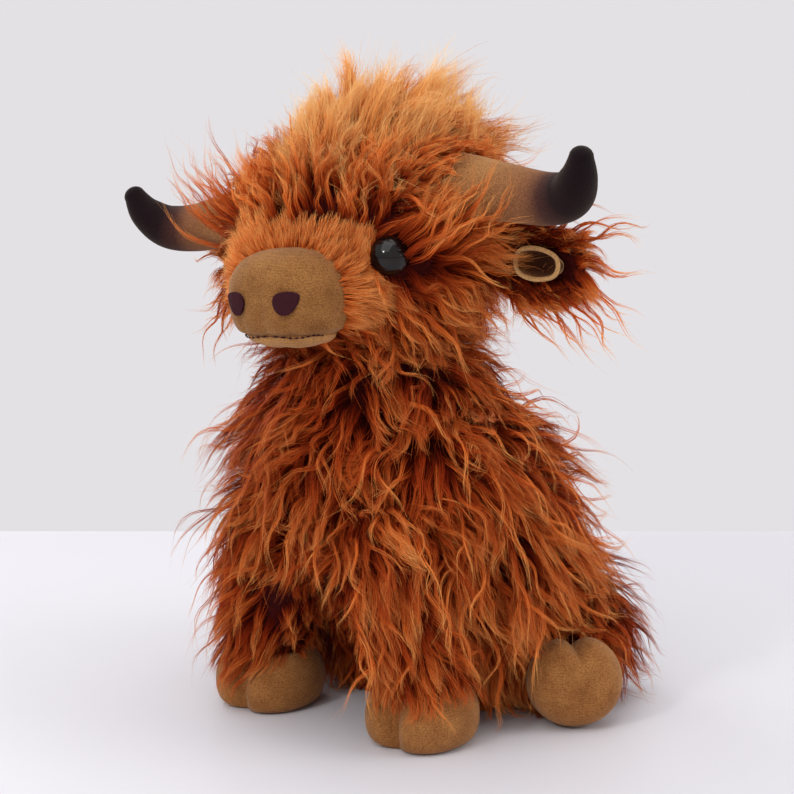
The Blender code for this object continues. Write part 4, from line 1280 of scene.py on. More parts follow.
            # Painted shade in the fur round the eye.
            roots.tone = roots.tone - 0.05 * beside
        return roots, brow, bridge

    def nape(self, rng: np.random.Generator) -> Roots:
        """Roots on the flat end at the back of the head.

        Args:
            rng: where the roots come from.

        Returns:
            Roots that are combed down.
        """
        count = self.nape_locks
        ring = self.form(self.pile).rings(*SKIN_STEPS)[0]
        centre = ring.mean(axis=0)
        share = np.sqrt(rng.random(count))[:, None]
        place = centre + (ring[rng.integers(0, len(ring), count)] - centre) * share
        normal = np.broadcast_to(BACK, place.shape)
        comb = turned(np.broadcast_to(-UP, place.shape), normal, rng.normal(size=count) * 0.4)
        tone = 0.40 + 0.20 * SmoothNoise(20 * MM, rng).at(place)
        return Roots(place, normal, comb, 0.7 + 0.3 * rng.random(count), np.zeros(count), tone)

    def temples(self, roots: Roots, rng: np.random.Generator) -> Roots:
        """Long locks beside the eyes, which stand out under the horns.

        Args:
            roots: roots over the whole head.
            rng: where small differences come from.

        Returns:
            The combed roots of both temples.
        """
        centre = moved_point(HEAD_FRAME, (0, -22 * MM, 202 * MM))
        away = roots.place - centre
        beside = (away[:, 1] > -22 * MM) & (away[:, 1] < 2 * MM) & (np.abs(away[:, 2]) < 7 * MM)
        roots = roots.kept(beside)
        sign = np.sign(roots.normal[:, 0])[:, None]
        roots.comb = on_surface(UP * 0.75 + LEFT * sign * 1.0 - BACK * 0.25, roots.normal)
        roots.length = 0.7 + 0.4 * rng.random(len(roots.place))
        roots.tone = 0.66 + 0.2 * SmoothNoise(14 * MM, rng).at(roots.place)
        return roots


@dataclass
class Crown:
    """The brushed-up panel of paler fur between the horns."""

    half_width: float = 39 * MM
    half_depth: float = 40 * MM
    base: float = 214 * MM
    top: float = 248 * MM
    setback: float = -2 * MM
    coat: Coat = Coat(
        3.0 * MM, 26, 26 * MM, tuft=11 * MM, gather=0.62, uneven=0.55, lift=1.0, rest_lift=0.5,
        wave=0.9, wavelength=24 * MM, gravity=0.0, clump=0.62, spread=2.8 * MM, frizz=1.7 * MM,
        loose=0.34, width=0.21 * MM, segments=7, stray=0.75,
    )

    def form(self) -> SweptForm:
        """The panel's dome."""
        rows = []
        for degrees in (0, 14, 28, 42, 56, 70, 84):
            angle = math.radians(degrees)
            spread = math.cos(angle) ** 0.8
            height = self.base + (self.top - self.base) * math.sin(angle)
            rows.append(
                (height, 0, self.setback, self.half_width * spread, self.half_depth * spread)
            )
        return SweptForm(np.array(rows), HEAD_FRAME)

    def skin(self) -> bpy.types.Object:
        """The backing under the crown's fur."""
        grid = self.form().rings(20, 64)
        made = capped("crown_skin", grid, CROWN_FUR.skin_material())
        return settled(made, "head", "crown_fur", "crown_panel", fill=0.8)

    def comb(self, roots: Roots, rng: np.random.Generator) -> Roots:
        """Brushes the fur up and out from the middle, in uneven tufts."""
        centre = moved_point(HEAD_FRAME, (0, self.setback, self.base))
        away = roots.place - centre
        wanted = away * np.array((1, 1, 0)) / (62 * MM) + BACK * 0.3 + LEFT * 0.3
        sway = SmoothNoise(20 * MM, rng).at(roots.place) * 0.7
        climb = np.interp(away[:, 2], [0, 7 * MM], [-0.8, 1.1])
        roots.comb = turned(
            on_surface(wanted + UP * climb[:, None], roots.normal), roots.normal, sway
        )
        edge = np.clip(np.linalg.norm(away[:, :2], axis=1) / self.half_width, 0, 1)
        roots.length = 1.0 - 0.12 * edge + 0.28 * SmoothNoise(15 * MM, rng).at(roots.place)
        roots.lift = np.full(len(roots.place), 1.15) - 0.9 * edge
        shade = 0.22 * SmoothNoise(14 * MM, rng).at(roots.place)
        # Painted light: the tone rises toward the top of the panel; shade only adds random
        # mottling.
        roots.tone = 0.50 + 0.26 * np.clip(away[:, 2] / (30 * MM), 0, 1) + shade
        return roots


@dataclass
class Muzzle:
    """Velour muzzle with a dark mouth seam, a lower lip and stitched nostrils."""

    seam: float = -63.3 * MM
    length: float = 19 * MM
    half_width: float = 25.95 * MM
    half_height: float = 19.63 * MM
    height: float = 181.15 * MM
    square: float = 2.6
    roundness: float = 2.4
    mouth_below: float = 14.2 * MM
    groove: float = 1.3 * MM
    thread: float = 0.75 * MM
    stitches: int = 17

    def grid(self) -> Array:
        """The muzzle's skin from behind its seam to its front, in the upright pattern."""
        a, b = squared_ring(120, self.square)
        rings = []
        share = np.concatenate([[-0.16], np.sin(np.linspace(0, math.pi / 2 * 0.985, 40))])
        for value in share:
            scale = (1 - max(value, 0) ** self.roundness) ** (1 / self.roundness)
            x = self.half_width * scale * a
            z = self.height + self.half_height * scale * b
            y = np.full_like(x, self.seam - self.length * value)
            rings.append(np.stack([x, y, z], axis=1))
        return np.array(rings)

    def creased(self, grid: Array) -> Array:
        """Pulls the mouth seam and two soft creases in."""
        middle = np.array((0, self.seam + 6 * MM, self.height))
        inward = unit(middle - grid)
        x, z = grid[:, :, 0], grid[:, :, 2]
        mouth = self.height - self.mouth_below
        deep = self.groove * np.exp(-(((z - mouth) / (1.3 * MM)) ** 2))
        below = 1 / (1 + np.exp((z - self.height + 1 * MM) / (2 * MM)))
        for place in (-11.5 * MM, 11.5 * MM):
            deep = deep + 0.55 * MM * below * np.exp(-(((x - place) / (1.6 * MM)) ** 2))
        deep = deep + 0.6 * MM * below * np.exp(-((x / (2.4 * MM)) ** 2))
        return grid + inward * deep[:, :, None]

    def build(self) -> None:
        """Makes the cover and the lip, parted along the mouth."""
        pattern = self.creased(self.grid())
        grid = moved_grid(HEAD_FRAME, pattern)
        whole = skinned("muzzle_skin", grid, None, grid[-1].mean(axis=0))
        heights = np.append(pattern[:, :, 2].reshape(-1), self.height)
        mouth = self.height - self.mouth_below
        for name, node, above in (
            ("muzzle_velour", "muzzle_cover", True), ("lip_velour", "lower_lip", False)
        ):
            part = whole.data.copy()
            faces = [tuple(p.vertices) for p in part.polygons]
            kept = [f for f in faces if (np.mean(heights[list(f)]) >= mouth) == above]
            points = np.array([v.co for v in part.vertices])
            used = sorted({index for face in kept for index in face})
            number = {old: new for new, old in enumerate(used)}
            piece = new_mesh(name, points[used], [tuple(number[i] for i in f) for f in kept])
            piece.data.materials.append((MUZZLE_VELOUR if above else LIP_VELOUR).material())
            nodes = (node, "muzzle_stuffing") if above else (node,)
            settled(piece, "head", "velour", *nodes, fill=0.9)
            bpy.data.meshes.remove(part)
        bpy.data.objects.remove(whole)
        self.mouth()

    def mouth(self) -> None:
        """The dark thread that lies in the mouth's groove."""
        drop = self.mouth_below
        reach = (1 - (drop / self.half_height) ** self.roundness) ** (1 / self.roundness)
        line = []
        for turn in np.linspace(-1.2, 1.2, 121):
            share = reach * math.cos(turn)
            scale = (1 - share**self.roundness) ** (1 / self.roundness)
            rise = min(drop / (self.half_height * scale), 1)
            wide = self.half_width * scale * (1 - rise**self.square) ** (1 / self.square)
            line.append(
                (math.copysign(wide, turn), self.seam - self.length * share, self.height - drop)
            )
        line = np.array(line)
        ahead = unit(np.gradient(line, axis=0))
        inward = np.cross(UP, ahead)
        place = np.linspace(0, math.tau, len(line))
        centre = line + inward * self.groove * 0.55 + UP * (
            0.35 * MM * np.sin(2.5 * place)
        )[:, None]
        thick = self.thread / 2 * (0.62 + 0.38 * np.cos(self.stitches * place))
        grid = moved_grid(HEAD_FRAME, tube(centre, inward, UP, thick, 10))
        made = capped("mouth_stitch", grid, stitching())
        settled(made, "head", "nostril_thread", "mouth_thread")


@dataclass
class Eyes:
    """Glossy domed eyes."""

    radius: float = 8.0 * MM
    spacing: float = 72 * MM
    height: float = 195.5 * MM
    forward: float = -45 * MM
    axis: tuple = (0.78, -0.60, 0.16)

    def place(self, side: Side) -> tuple[Array, Array]:
        """An eye's centre and the way that it looks."""
        centre = (self.spacing / 2 * side.value, self.forward, self.height)
        axis = unit(np.array(self.axis) * (side.value, 1, 1))
        return moved_point(HEAD_FRAME, centre), HEAD_FRAME[:3, :3] @ axis

    def ball(self, side: Side) -> Ball:
        """The space of an eye, which the fur lies around."""
        centre, axis = self.place(side)
        return Ball(centre + axis * 2 * MM, self.radius)

    def material(self) -> bpy.types.Material:
        """Polished near-black plastic with a brown depth."""
        found = bpy.data.materials.get("eye_gloss")
        if found:
            return found
        paint = Paint("eye_gloss")
        shades = [(0.3, (0.003, 0.002, 0.002)), (0.8, (0.011, 0.005, 0.004))]
        paint.colour(paint.ramp(paint.noise(6 * MM), shades))
        paint.surface(0.12, 0.3)
        return paint.material

    def build(self, side: Side) -> None:
        """Makes one eye's dome with a flat back."""
        centre, axis = self.place(side)
        across = unit(np.cross(axis, UP))
        over = np.cross(across, axis)
        rings = []
        for degrees in np.linspace(-24, 86, 26):
            angle = math.radians(degrees)
            ring = []
            for turn in np.linspace(0, math.tau, 48, endpoint=False):
                flat = across * math.cos(turn) + over * math.sin(turn)
                ring.append(
                    centre + self.radius * (flat * math.cos(angle) + axis * math.sin(angle))
                )
            rings.append(ring)
        grid = np.array(rings)
        made = skinned(
            f"eye_dome_{side.word}", grid, grid[0].mean(axis=0), centre + axis * self.radius
        )
        made.data.materials.append(self.material())
        settled(made, "head", "eye_plastic", f"eye_{side.word}")


@dataclass
class Horns:
    """Stuffed velour horns, tan at the root and dark at the tip."""

    reach: float = 117 * MM
    radius: float = 14.5 * MM
    rise: float = 20 * MM
    sweep: float = 14 * MM
    lift: float = 3.5 * MM
    aside: float = 3.5 * MM
    start: float = 33 * MM
    bare: float = 52 * MM
    cuff_locks: int = 430
    root: tuple = (-21 * MM, 218 * MM)
    tip: float = 4 * MM
    shares: tuple = (
        (0.26, 0.02, 0.0, 1.0),
        (0.45, -0.08, 0.0, 0.90),
        (0.62, -0.22, 0.02, 0.77),
        (0.78, -0.36, 0.12, 0.70),
        (0.89, -0.30, 0.38, 0.64),
        (0.955, 0.02, 0.72, 0.50),
        (0.985, 0.40, 0.92, 0.32),
    )
    cuff: Coat = Coat(
        2.4 * MM, 20, 17 * MM, tuft=7 * MM, gather=0.5, uneven=0.4, lift=0.5, rest_lift=0.12,
        wave=0.8, wavelength=24 * MM, gravity=0.1, spread=2.2 * MM, stray=0.5, width=0.23 * MM,
    )
    colours: tuple = (
        (0.0, (0.38, 0.175, 0.061)),
        (0.36, (0.41, 0.198, 0.076)),
        (0.58, (0.27, 0.115, 0.054)),
        (0.68, (0.070, 0.026, 0.023)),
        (0.77, (0.014, 0.005, 0.008)),
        (1.0, (0.008, 0.003, 0.006)),
    )

    def path(self, side: Side, steps: int) -> tuple[Array, Array]:
        """Centres and radii along a horn in the upright pattern."""
        rows = smooth_rows(np.array(self.shares), steps)
        x = self.reach * rows[:, 0] * side.value + self.aside
        y = self.root[0] - self.sweep * rows[:, 2]
        z = self.root[1] + self.rise * rows[:, 1] + self.lift * side.value
        return np.stack([x, y, z], axis=1), self.radius * rows[:, 3]

    def grid(self, side: Side) -> tuple[Array, Array, Array]:
        """Rings, tip and the share along the horn for each ring."""
        points, radii = self.path(side, 44)
        ahead = unit(np.gradient(points, axis=0))
        end = ahead[-1]
        for degrees in (18, 36, 54, 72):
            angle = math.radians(degrees)
            points = np.vstack([points, points[44] + end * self.tip * math.sin(angle)])
            radii = np.append(radii, radii[44] * math.cos(angle))
            ahead = np.vstack([ahead, end])
        across = unit(np.cross(np.broadcast_to(BACK, ahead.shape), ahead))
        over = np.cross(ahead, across)
        grid = tube(points, across, over, radii, 48)
        reach = np.concatenate([[0], np.cumsum(np.linalg.norm(np.diff(points, axis=0), axis=1))])
        return grid, points[44] + end * self.tip, reach / reach[-1]

    def build(self, side: Side) -> None:
        """Makes one horn, open at its root end."""
        grid, tip, share = self.grid(side)
        shown = np.abs(grid[:, :, 0]).max(axis=1) > self.start
        grid, share = grid[shown], share[shown]
        word = side.word
        made = skinned(
            f"horn_{word}", moved_grid(HEAD_FRAME, grid), None, moved_point(HEAD_FRAME, tip)
        )
        carry(made, "along", np.append(np.repeat(share, grid.shape[1]), 1.0))
        made.data.materials.append(HORN_VELOUR.material(list(self.colours)))
        settled(
            made, "head", "horn_velour", f"horn_cover_{word}", f"horn_stuffing_{word}", fill=0.9
        )

    def obstacles(self, side: Side) -> list[Ball]:
        """Balls along a horn that fur lies around."""
        points, radii = self.path(side, 16)
        out = np.abs(points[:, 0]) > self.bare
        places = moved(HEAD_FRAME, points[out])
        return [Ball(place, radius) for place, radius in zip(places, radii[out])]

    def cuff_roots(self, side: Side, rng: np.random.Generator) -> Roots:
        """Roots round a horn's seam, whose locks lie outward over its velour.

        Args:
            side: which horn.
            rng: where the roots come from.

        Returns:
            Combed roots.
        """
        grid = moved_grid(HEAD_FRAME, self.grid(side)[0])
        centre = grid.mean(axis=1)
        reach = np.abs(centre[:, 0] - PATTERN_SHIFT[0])
        rows = np.nonzero((reach > self.start) & (reach < self.bare))[0]
        count = self.cuff_locks
        row = rng.choice(rows, count)
        turn = rng.integers(0, grid.shape[1], count)
        place = grid[row, turn]
        normal = unit(place - centre[row])
        flow = unit(centre[np.minimum(row + 1, len(centre) - 1)] - centre[row])
        comb = on_surface(flow + UP * 0.25 + BACK * 0.1, normal)
        length = 0.55 + 0.5 * rng.random(count)
        tone = 0.5 + 0.2 * SmoothNoise(14 * MM, rng).at(place)
        return Roots(place, normal, comb, length, np.zeros(count), tone)


@dataclass
class Ears:
    """Cupped velour ears backed with long fur."""

    length: float = 52 * MM
    width: float = 31 * MM
    cup: float = 5 * MM
    root: tuple = (50 * MM, -4 * MM, 193 * MM)
    droop: float = math.radians(9)
    sweep: float = math.radians(6)
    count: int = 470  # locks on one ear
    few: int = 46  # long locks that stand apart
    rim: float = 0.95 * MM
    opening: float = 0.8
    shares: tuple = (
        (0.0, 0.46, 0.80),
        (0.12, 0.62, 0.92),
        (0.30, 0.90, 1.0),
        (0.50, 1.0, 1.0),
        (0.70, 0.86, 0.88),
        (0.86, 0.56, 0.66),
        (0.96, 0.28, 0.40),
    )
    apart: Coat = Coat(
        6 * MM, 12, 32 * MM, tuft=40 * MM, gather=0.0, uneven=0.3, lift=0.55, rest_lift=0.12,
        wave=1.0, wavelength=26 * MM, gravity=0.22, clump=0.97, spread=1.2 * MM, frizz=0.5 * MM,
        loose=0.08, width=0.26 * MM, segments=10, stray=0.5,
    )
    coat: Coat = Coat(
        2.4 * MM, 17, 18 * MM, tuft=8 * MM, gather=0.72, uneven=0.5, lift=0.5, rest_lift=0.10,
        wave=0.95, wavelength=24 * MM, gravity=0.25, clump=0.92, spread=1.9 * MM, stray=0.65,
        width=0.23 * MM,
    )

    def to_world(self, side: Side) -> Array:
        """Places an ear, which is drawn with its length along X and its front toward -Y."""
        c, s = math.cos(self.sweep), math.sin(self.sweep)
        sweep = np.array(((c, -s, 0), (s, c, 0), (0, 0, 1)))
        local = np.eye(4)
        local[:3, :3] = np.diag((side.value, 1, 1)) @ sweep @ about_y(self.droop)
        local[:3, 3] = np.array(self.root) * (side.value, 1, 1)
        return HEAD_FRAME @ local

    def leaf(
        self, start: float, end: float, wide: float, front: float, thick: float, scoop: float,
        oval: bool = False,
    ) -> Array:
        """Rings of a cupped leaf.

        Args:
            start: share of the length where it starts.
            end: share of the length where it ends.
            wide: share of the ear's width.
            front: how far forward its face lies.
            thick: its thickness at the middle line.
            scoop: how much deeper its middle is hollowed.
            oval: whether its ends are rounded.

        Returns:
            An array of rings by points by three.
        """
        rows = smooth_rows(np.array(self.shares), 60)
        rows = rows[(rows[:, 0] >= start) & (rows[:, 0] <= end)]
        rings = []
        for along, half, bulk in rows:
            t = np.linspace(-1, 1, 15)
            part = (along - start) / (end - start)
            if oval:
                half = half * (0.25 + 0.75 * math.sin(math.pi * min(max(part, 0.0), 1.0)) ** 0.45)
            hollow = scoop * (1 - np.abs(t) ** 3.2) * max(math.sin(math.pi * part), 0.0) ** 0.55
            cup = -self.cup * (t * half * wide) ** 2 + front + hollow
            edge = np.sqrt(np.maximum(1 - t * t, 0)) * 0.8 + 0.2
            x = np.full_like(t, self.length * along)
            z = self.width / 2 * half * wide * t
            face = np.stack([x, cup, z], axis=1)
            behind = np.stack([x, cup + thick * bulk * edge, z], axis=1)
            rings.append(np.concatenate([face, behind[::-1]]))
        return np.array(rings)

    def lining(self) -> Array:
        """Rings of the cupped lining, which the rolled edge goes round."""
        return self.leaf(0.33, 0.75, 0.40, -5.6 * MM, 1.0 * MM, 6.8 * MM, True)

    def build(self, side: Side, rng: np.random.Generator, obstacles: list) -> None:
        """Makes the back, the lining and the fur of one ear."""
        matrix = self.to_world(side)
        body = f"ear_{side.word}"
        grid = moved_grid(matrix, self.leaf(0.0, 0.86, 0.94, 1.6 * MM, 2.6 * MM, 0.0))
        skin = capped(f"ear_skin_{side.word}", grid, LONG_FUR.skin_material())
        settled(skin, body, "long_fur", f"ear_back_{side.word}", fill=0.3)
        grid = moved_grid(matrix, self.lining())
        cup = capped(f"ear_cup_{side.word}", grid, EAR_VELOUR.material(list(EAR_CUP_LIGHT_AND_SHADE)))
        # How deep each point lies in the hollow, which the painted shade follows.
        part = np.linspace(0, 1, grid.shape[0])[:, None]
        t = np.linspace(-1, 1, grid.shape[1] // 2)
        deep = (1 - t**4) * np.abs(np.sin(math.pi * part)) ** 0.6
        deep = np.concatenate([deep, deep[:, ::-1]], axis=1).reshape(-1)
        carry(cup, "along", np.append(deep, (0.0, 0.0)))
        settled(cup, body, "velour", f"ear_lining_{side.word}", fill=0.3)
        self.rolled_rim(side, matrix)
        fur = Fur(body, self.coat, LONG_FUR, body, rng, obstacles)
        roots = self.roots(matrix, rng)
        fur.grow(roots)
        long = roots.kept(np.arange(len(roots.place)) % (self.count // self.few) == 0)
        long.length = 0.9 + 0.35 * rng.random(len(long.place))
        long.tone = np.full(len(long.place), 0.85)
        Fur(f"{body}_long", self.apart, LONG_FUR, body, rng, obstacles).grow(long)

    def rolled_rim(self, side: Side, matrix: Array) -> None:
        """The lining's rolled edge, a soft tube round its oval.

        Args:
            side: which ear.
            matrix: the ear's place.
        """
        shape = self.lining()
        half = shape.shape[1] // 2
        line = np.concatenate([shape[:, 0], shape[::-1, half - 1]])
        for _ in range(6):
            line = (np.roll(line, 1, axis=0) + line * 2 + np.roll(line, -1, axis=0)) / 4
        ahead = unit(np.roll(line, -1, axis=0) - np.roll(line, 1, axis=0))
        grid = tube(line, unit(np.cross(ahead, BACK)), -BACK, self.rim, 12)
        count, around = grid.shape[:2]
        faces = []
        for ring in range(count):
            low, high = ring * around, (ring + 1) % count * around
            for a in range(around):
                b = (a + 1) % around
                faces.append((low + a, low + b, high + b, high + a))
        made = new_mesh(f"ear_rim_{side.word}", moved(matrix, grid.reshape(-1, 3)), faces)
        # The lining's material without its depth value: the edge takes the palest colour, painted
        # light on the rolled edge.
        made.data.materials.append(EAR_VELOUR.material())
        settled(made, f"ear_{side.word}", "velour")

    def roots(self, matrix: Array, rng: np.random.Generator) -> Roots:
        """Roots on the back of the leaf, and on the border of its front.

        Args:
            matrix: the ear's place.
            rng: where the roots come from.

        Returns:
            Combed roots.
        """
        rows = smooth_rows(np.array(self.shares), 60)
        count = self.count
        along = rng.random(count) ** 0.9 * 0.84
        t = 2 * rng.random(count) - 1
        front = np.arange(count) % 9 < 4
        border = np.sign(t) * (0.5 + 0.5 * np.abs(t))
        t = np.where(front & (along < self.opening), border, t)
        half = np.interp(along, rows[:, 0], rows[:, 1])
        edge = np.sqrt(np.maximum(1 - t * t, 0))
        depth = np.where(front, 0.6 * MM, 1.5 * MM + 2.6 * MM * edge)
        place = np.stack(
            [self.length * along, depth - self.cup * (t * half) ** 2, self.width / 2 * half * t],
            axis=1,
        )
        facing = np.where(front, -0.6, 0.4 + 0.6 * edge)
        normal = np.stack([0.15 * np.ones(count), facing, t * 0.8], axis=1)
        comb = np.stack([np.ones(count), 0.0 * t, t * 0.8 - 0.15], axis=1)
        turn = matrix[:3, :3]
        out = unit(normal @ turn.T)
        flow = on_surface(comb @ turn.T, out)
        length = 0.95 + 0.35 * rng.random(count) - 0.6 * along - 0.3 * (front & (along < 0.3))
        return Roots(moved(matrix, place), out, flow, length, np.zeros(count), 0.55 + 0.3 * along)


@dataclass
class Hoof:
    """A two-toed velour hoof, drawn standing on its sole with its cleft toward -Y."""

    width: float
    length: float
    height: float = 25 * MM
    cleft: float = 7 * MM
    cleft_width: float = 4.2 * MM
    square: float = 2.25
    shares: tuple = (
        (0.0, 0.70, 0.35),
        (0.035, 0.83, 0.6),
        (0.14, 0.94, 0.9),
        (0.34, 1.0, 1.05),
        (0.62, 0.985, 1.1),
        (0.86, 0.88, 1.0),
        (1.0, 0.80, 0.8),
    )

    def form(self, to_world: Array) -> SweptForm:
        """The hoof's plain form, which fur lies around."""
        table = np.array(self.shares)
        rows = [
            (self.height * up, 0, 0, self.width / 2 * s, self.length / 2 * s) for up, s, _ in table
        ]
        return SweptForm(np.array(rows), to_world)

    def rings(self) -> Array:
        """Rings from the sole up, with a soft crease between the toes."""
        a, b = squared_ring(96, self.square)
        rings = []
        for up, spread, split in smooth_rows(np.array(self.shares), 26):
            x = self.width / 2 * spread * a
            y = self.length / 2 * spread * b
            front = 1 / (1 + np.exp((b + 0.15) * 9))
            notch = self.cleft * split * np.exp(-((np.abs(x) / self.cleft_width) ** 1.4)) * front
            z = np.full_like(x, self.height * max(up, 0.0))
            rings.append(np.stack([x, y + notch, z], axis=1))
        return np.array(rings)


@dataclass
class Leg:
    """One stuffed leg with its fur and hoof."""

    label: str
    side: Side
    to_world: Array
    rows: Array
    hoof: Hoof
    coat: Coat
    pile: float = 4.5 * MM
    wisp: float = 0.8  # of a wisp's full length

    def form(self, inset: float) -> SweptForm:
        """The leg's form above its hoof."""
        rows = self.rows.copy()
        rows[:, 3:] -= inset
        return SweptForm(rows, self.to_world)

    def build(self) -> None:
        """Makes the hoof and the skin under the fur."""
        word = self.side.word
        body = f"{self.label}_leg_{word}"
        grid = moved_grid(self.to_world, self.hoof.rings())
        grid[:, :, 2] = np.maximum(grid[:, :, 2], 0)
        hoof = capped(f"{self.label}_hoof_velour_{word}", grid, HOOF_VELOUR.material())
        settled(hoof, body, "velour", f"{self.label}_hoof_{word}", fill=0.9)
        grid = self.form(self.pile).rings(24, 48)
        skin = capped(f"{self.label}_leg_skin_{word}", grid, LONG_FUR.skin_material())
        nodes = (f"{self.label}_leg_{inner}_{word}" for inner in ("cover", "stuffing"))
        settled(skin, body, "long_fur", *nodes, fill=0.8)

    def grow(
        self, comb: Callable[[Roots], Roots], hidden: list, drops: list, rng: np.random.Generator
    ) -> None:
        """Grows the leg's fur.

        Args:
            comb: combs the roots.
            hidden: forms in which no root is kept.
            drops: balls into which no lock reaches.
            rng: where the strands' differences come from.
        """
        roots = self.form(self.pile).scattered(self.coat.spacing)
        for form in hidden:
            roots = roots.kept(~form.holds(roots.place))
        roots = comb(roots)
        body = f"{self.label}_leg_{self.side.word}"
        around = [self.form(self.pile), self.hoof.form(self.to_world)]
        fur = Fur(body, self.coat, LONG_FUR, body, rng, around, drops)
        fur.grow(roots)
        fur.grow_wisps(roots, self.coat.spacing, self.wisp)


@dataclass
class FrontLegs:
    """Front legs that stand before the chest."""

    stance: float = 41 * MM
    shoulder: float = 28 * MM
    forward: float = -31 * MM
    height: float = 105 * MM
    radius: float = 22.5 * MM
    lean: float = 4 * MM
    shares: tuple = (
        (0.0, 0.90, 0.0),
        (0.22, 0.96, 0.5),
        (0.50, 1.0, 0.92),
        (0.74, 0.98, 1.0),
        (0.90, 0.80, 0.8),
        (0.98, 0.44, 0.7),
    )
    coat: Coat = Coat(
        3.9 * MM, 23, 32 * MM, tuft=10 * MM, lift=0.65, rest_lift=0.13, wave=0.95,
        wavelength=25 * MM, gravity=0.35, spread=2.8 * MM, clump=0.9, width=0.24 * MM, stray=0.45,
        uneven=0.35,
    )

    def leg(self, side: Side) -> Leg:
        """One front leg."""
        start = LEG_START
        rows = []
        for up, thick, lean in self.shares:
            inward = (self.shoulder - self.stance) * side.value * lean
            reach = self.radius * thick
            rows.append(
                (start + (self.height - start) * up, inward, -self.lean * lean, reach, reach)
            )
        origin = np.array((self.stance * side.value, self.forward, 0))
        matrix = BODY_FRAME @ placed(np.eye(3), origin)
        return Leg("front", side, matrix, np.array(rows), Hoof(44 * MM, 46 * MM), self.coat)

    def comb(self, side: Side, rng: np.random.Generator) -> Callable[[Roots], Roots]:
        """Combs a leg's fur down, and shortens it over the hoof."""

        def combed(roots: Roots) -> Roots:
            """The roots with their directions."""
            noise = SmoothNoise(26 * MM, rng)
            inward = np.clip(0.5 - roots.normal[:, 0] * side.value, 0, 1)[:, None]
            wanted = -UP + LEFT * side.value * (0.25 + 0.8 * inward)
            roots.comb = turned(
                on_surface(wanted, roots.normal), roots.normal, noise.at(roots.place) * 0.4
            )
            roots.length = np.interp(
                roots.place[:, 2], [25 * MM, 45 * MM, 80 * MM], [0.55, 0.85, 1.0]
            )
            inner = np.clip(-1.6 * roots.normal[:, 0] * side.value - 0.45, 0, 1)
            roots.length = roots.length * (1 - 0.72 * inner)
            # Besides random patches, painted shade on the leg's inner side.
            roots.tone = 0.20 + 0.26 * SmoothNoise(20 * MM, rng).at(roots.place) - 0.1 * inner
            return roots

        return combed


@dataclass
class HindLegs:
    """Hind legs that lie beside the seat with their soles turned out."""

    stance: float = 89 * MM
    setback: float = 14 * MM
    turn: float = math.radians(48)
    length: float = 74 * MM
    radius: float = 31 * MM
    hoof_length: float = 38 * MM
    shares: tuple = (
        (0.0, 0.60),
        (0.20, 0.78),
        (0.46, 0.96),
        (0.70, 1.0),
        (0.90, 0.76),
        (0.985, 0.36),
    )
    coat: Coat = Coat(
        3.9 * MM, 23, 32 * MM, tuft=10 * MM, lift=0.7, rest_lift=0.13, wave=0.95,
        wavelength=25 * MM, gravity=0.5, spread=2.8 * MM, clump=0.9, width=0.24 * MM, stray=0.45,
        uneven=0.35,
    )

    def leg(self, side: Side) -> Leg:
        """One hind leg."""
        start = LEG_START
        rows = []
        for up, thick in self.shares:
            reach = self.radius * thick
            rise = self.hoof_length / 2 - reach - 0.3 * MM
            rows.append((start + (self.length - start) * up, 0, rise, reach, reach))
        facing = np.array((math.sin(self.turn) * side.value, -math.cos(self.turn), 0))
        axes = np.array((np.cross(UP, facing), -UP, -facing))
        origin = np.array((self.stance * side.value, self.setback, self.hoof_length / 2))
        matrix = BODY_FRAME @ placed(axes, origin)
        ball = (
            (0.0, 0.52, 0.35),
            (0.04, 0.66, 0.5),
            (0.16, 0.84, 0.8),
            (0.36, 0.97, 1.0),
            (0.62, 1.0, 1.0),
            (0.86, 0.90, 0.9),
            (1.0, 0.80, 0.7),
        )
        hoof = Hoof(
            40 * MM, 38 * MM, cleft=5.5 * MM, cleft_width=3.6 * MM, square=2.05, shares=ball
        )
        return Leg("hind", side, matrix, np.array(rows), hoof, self.coat)

    def comb(self, side: Side, rng: np.random.Generator) -> Callable[[Roots], Roots]:
        """Combs a haunch's fur down and out toward the hoof."""

        def combed(roots: Roots) -> Roots:
            """The roots with their directions."""
            noise = SmoothNoise(26 * MM, rng)
            wanted = -UP * 0.7 + LEFT * 0.6 * side.value - BACK * 0.25
            roots.comb = turned(
                on_surface(wanted, roots.normal), roots.normal, noise.at(roots.place) * 0.35
            )
            local = moved(np.linalg.inv(self.leg(side).to_world), roots.place)
            roots.length = np.interp(local[:, 2], [25 * MM, 40 * MM, 60 * MM], [0.35, 0.8, 1.0])
            roots.tone = -0.06 + 0.22 * SmoothNoise(20 * MM, rng).at(roots.place)
            return roots

        return combed


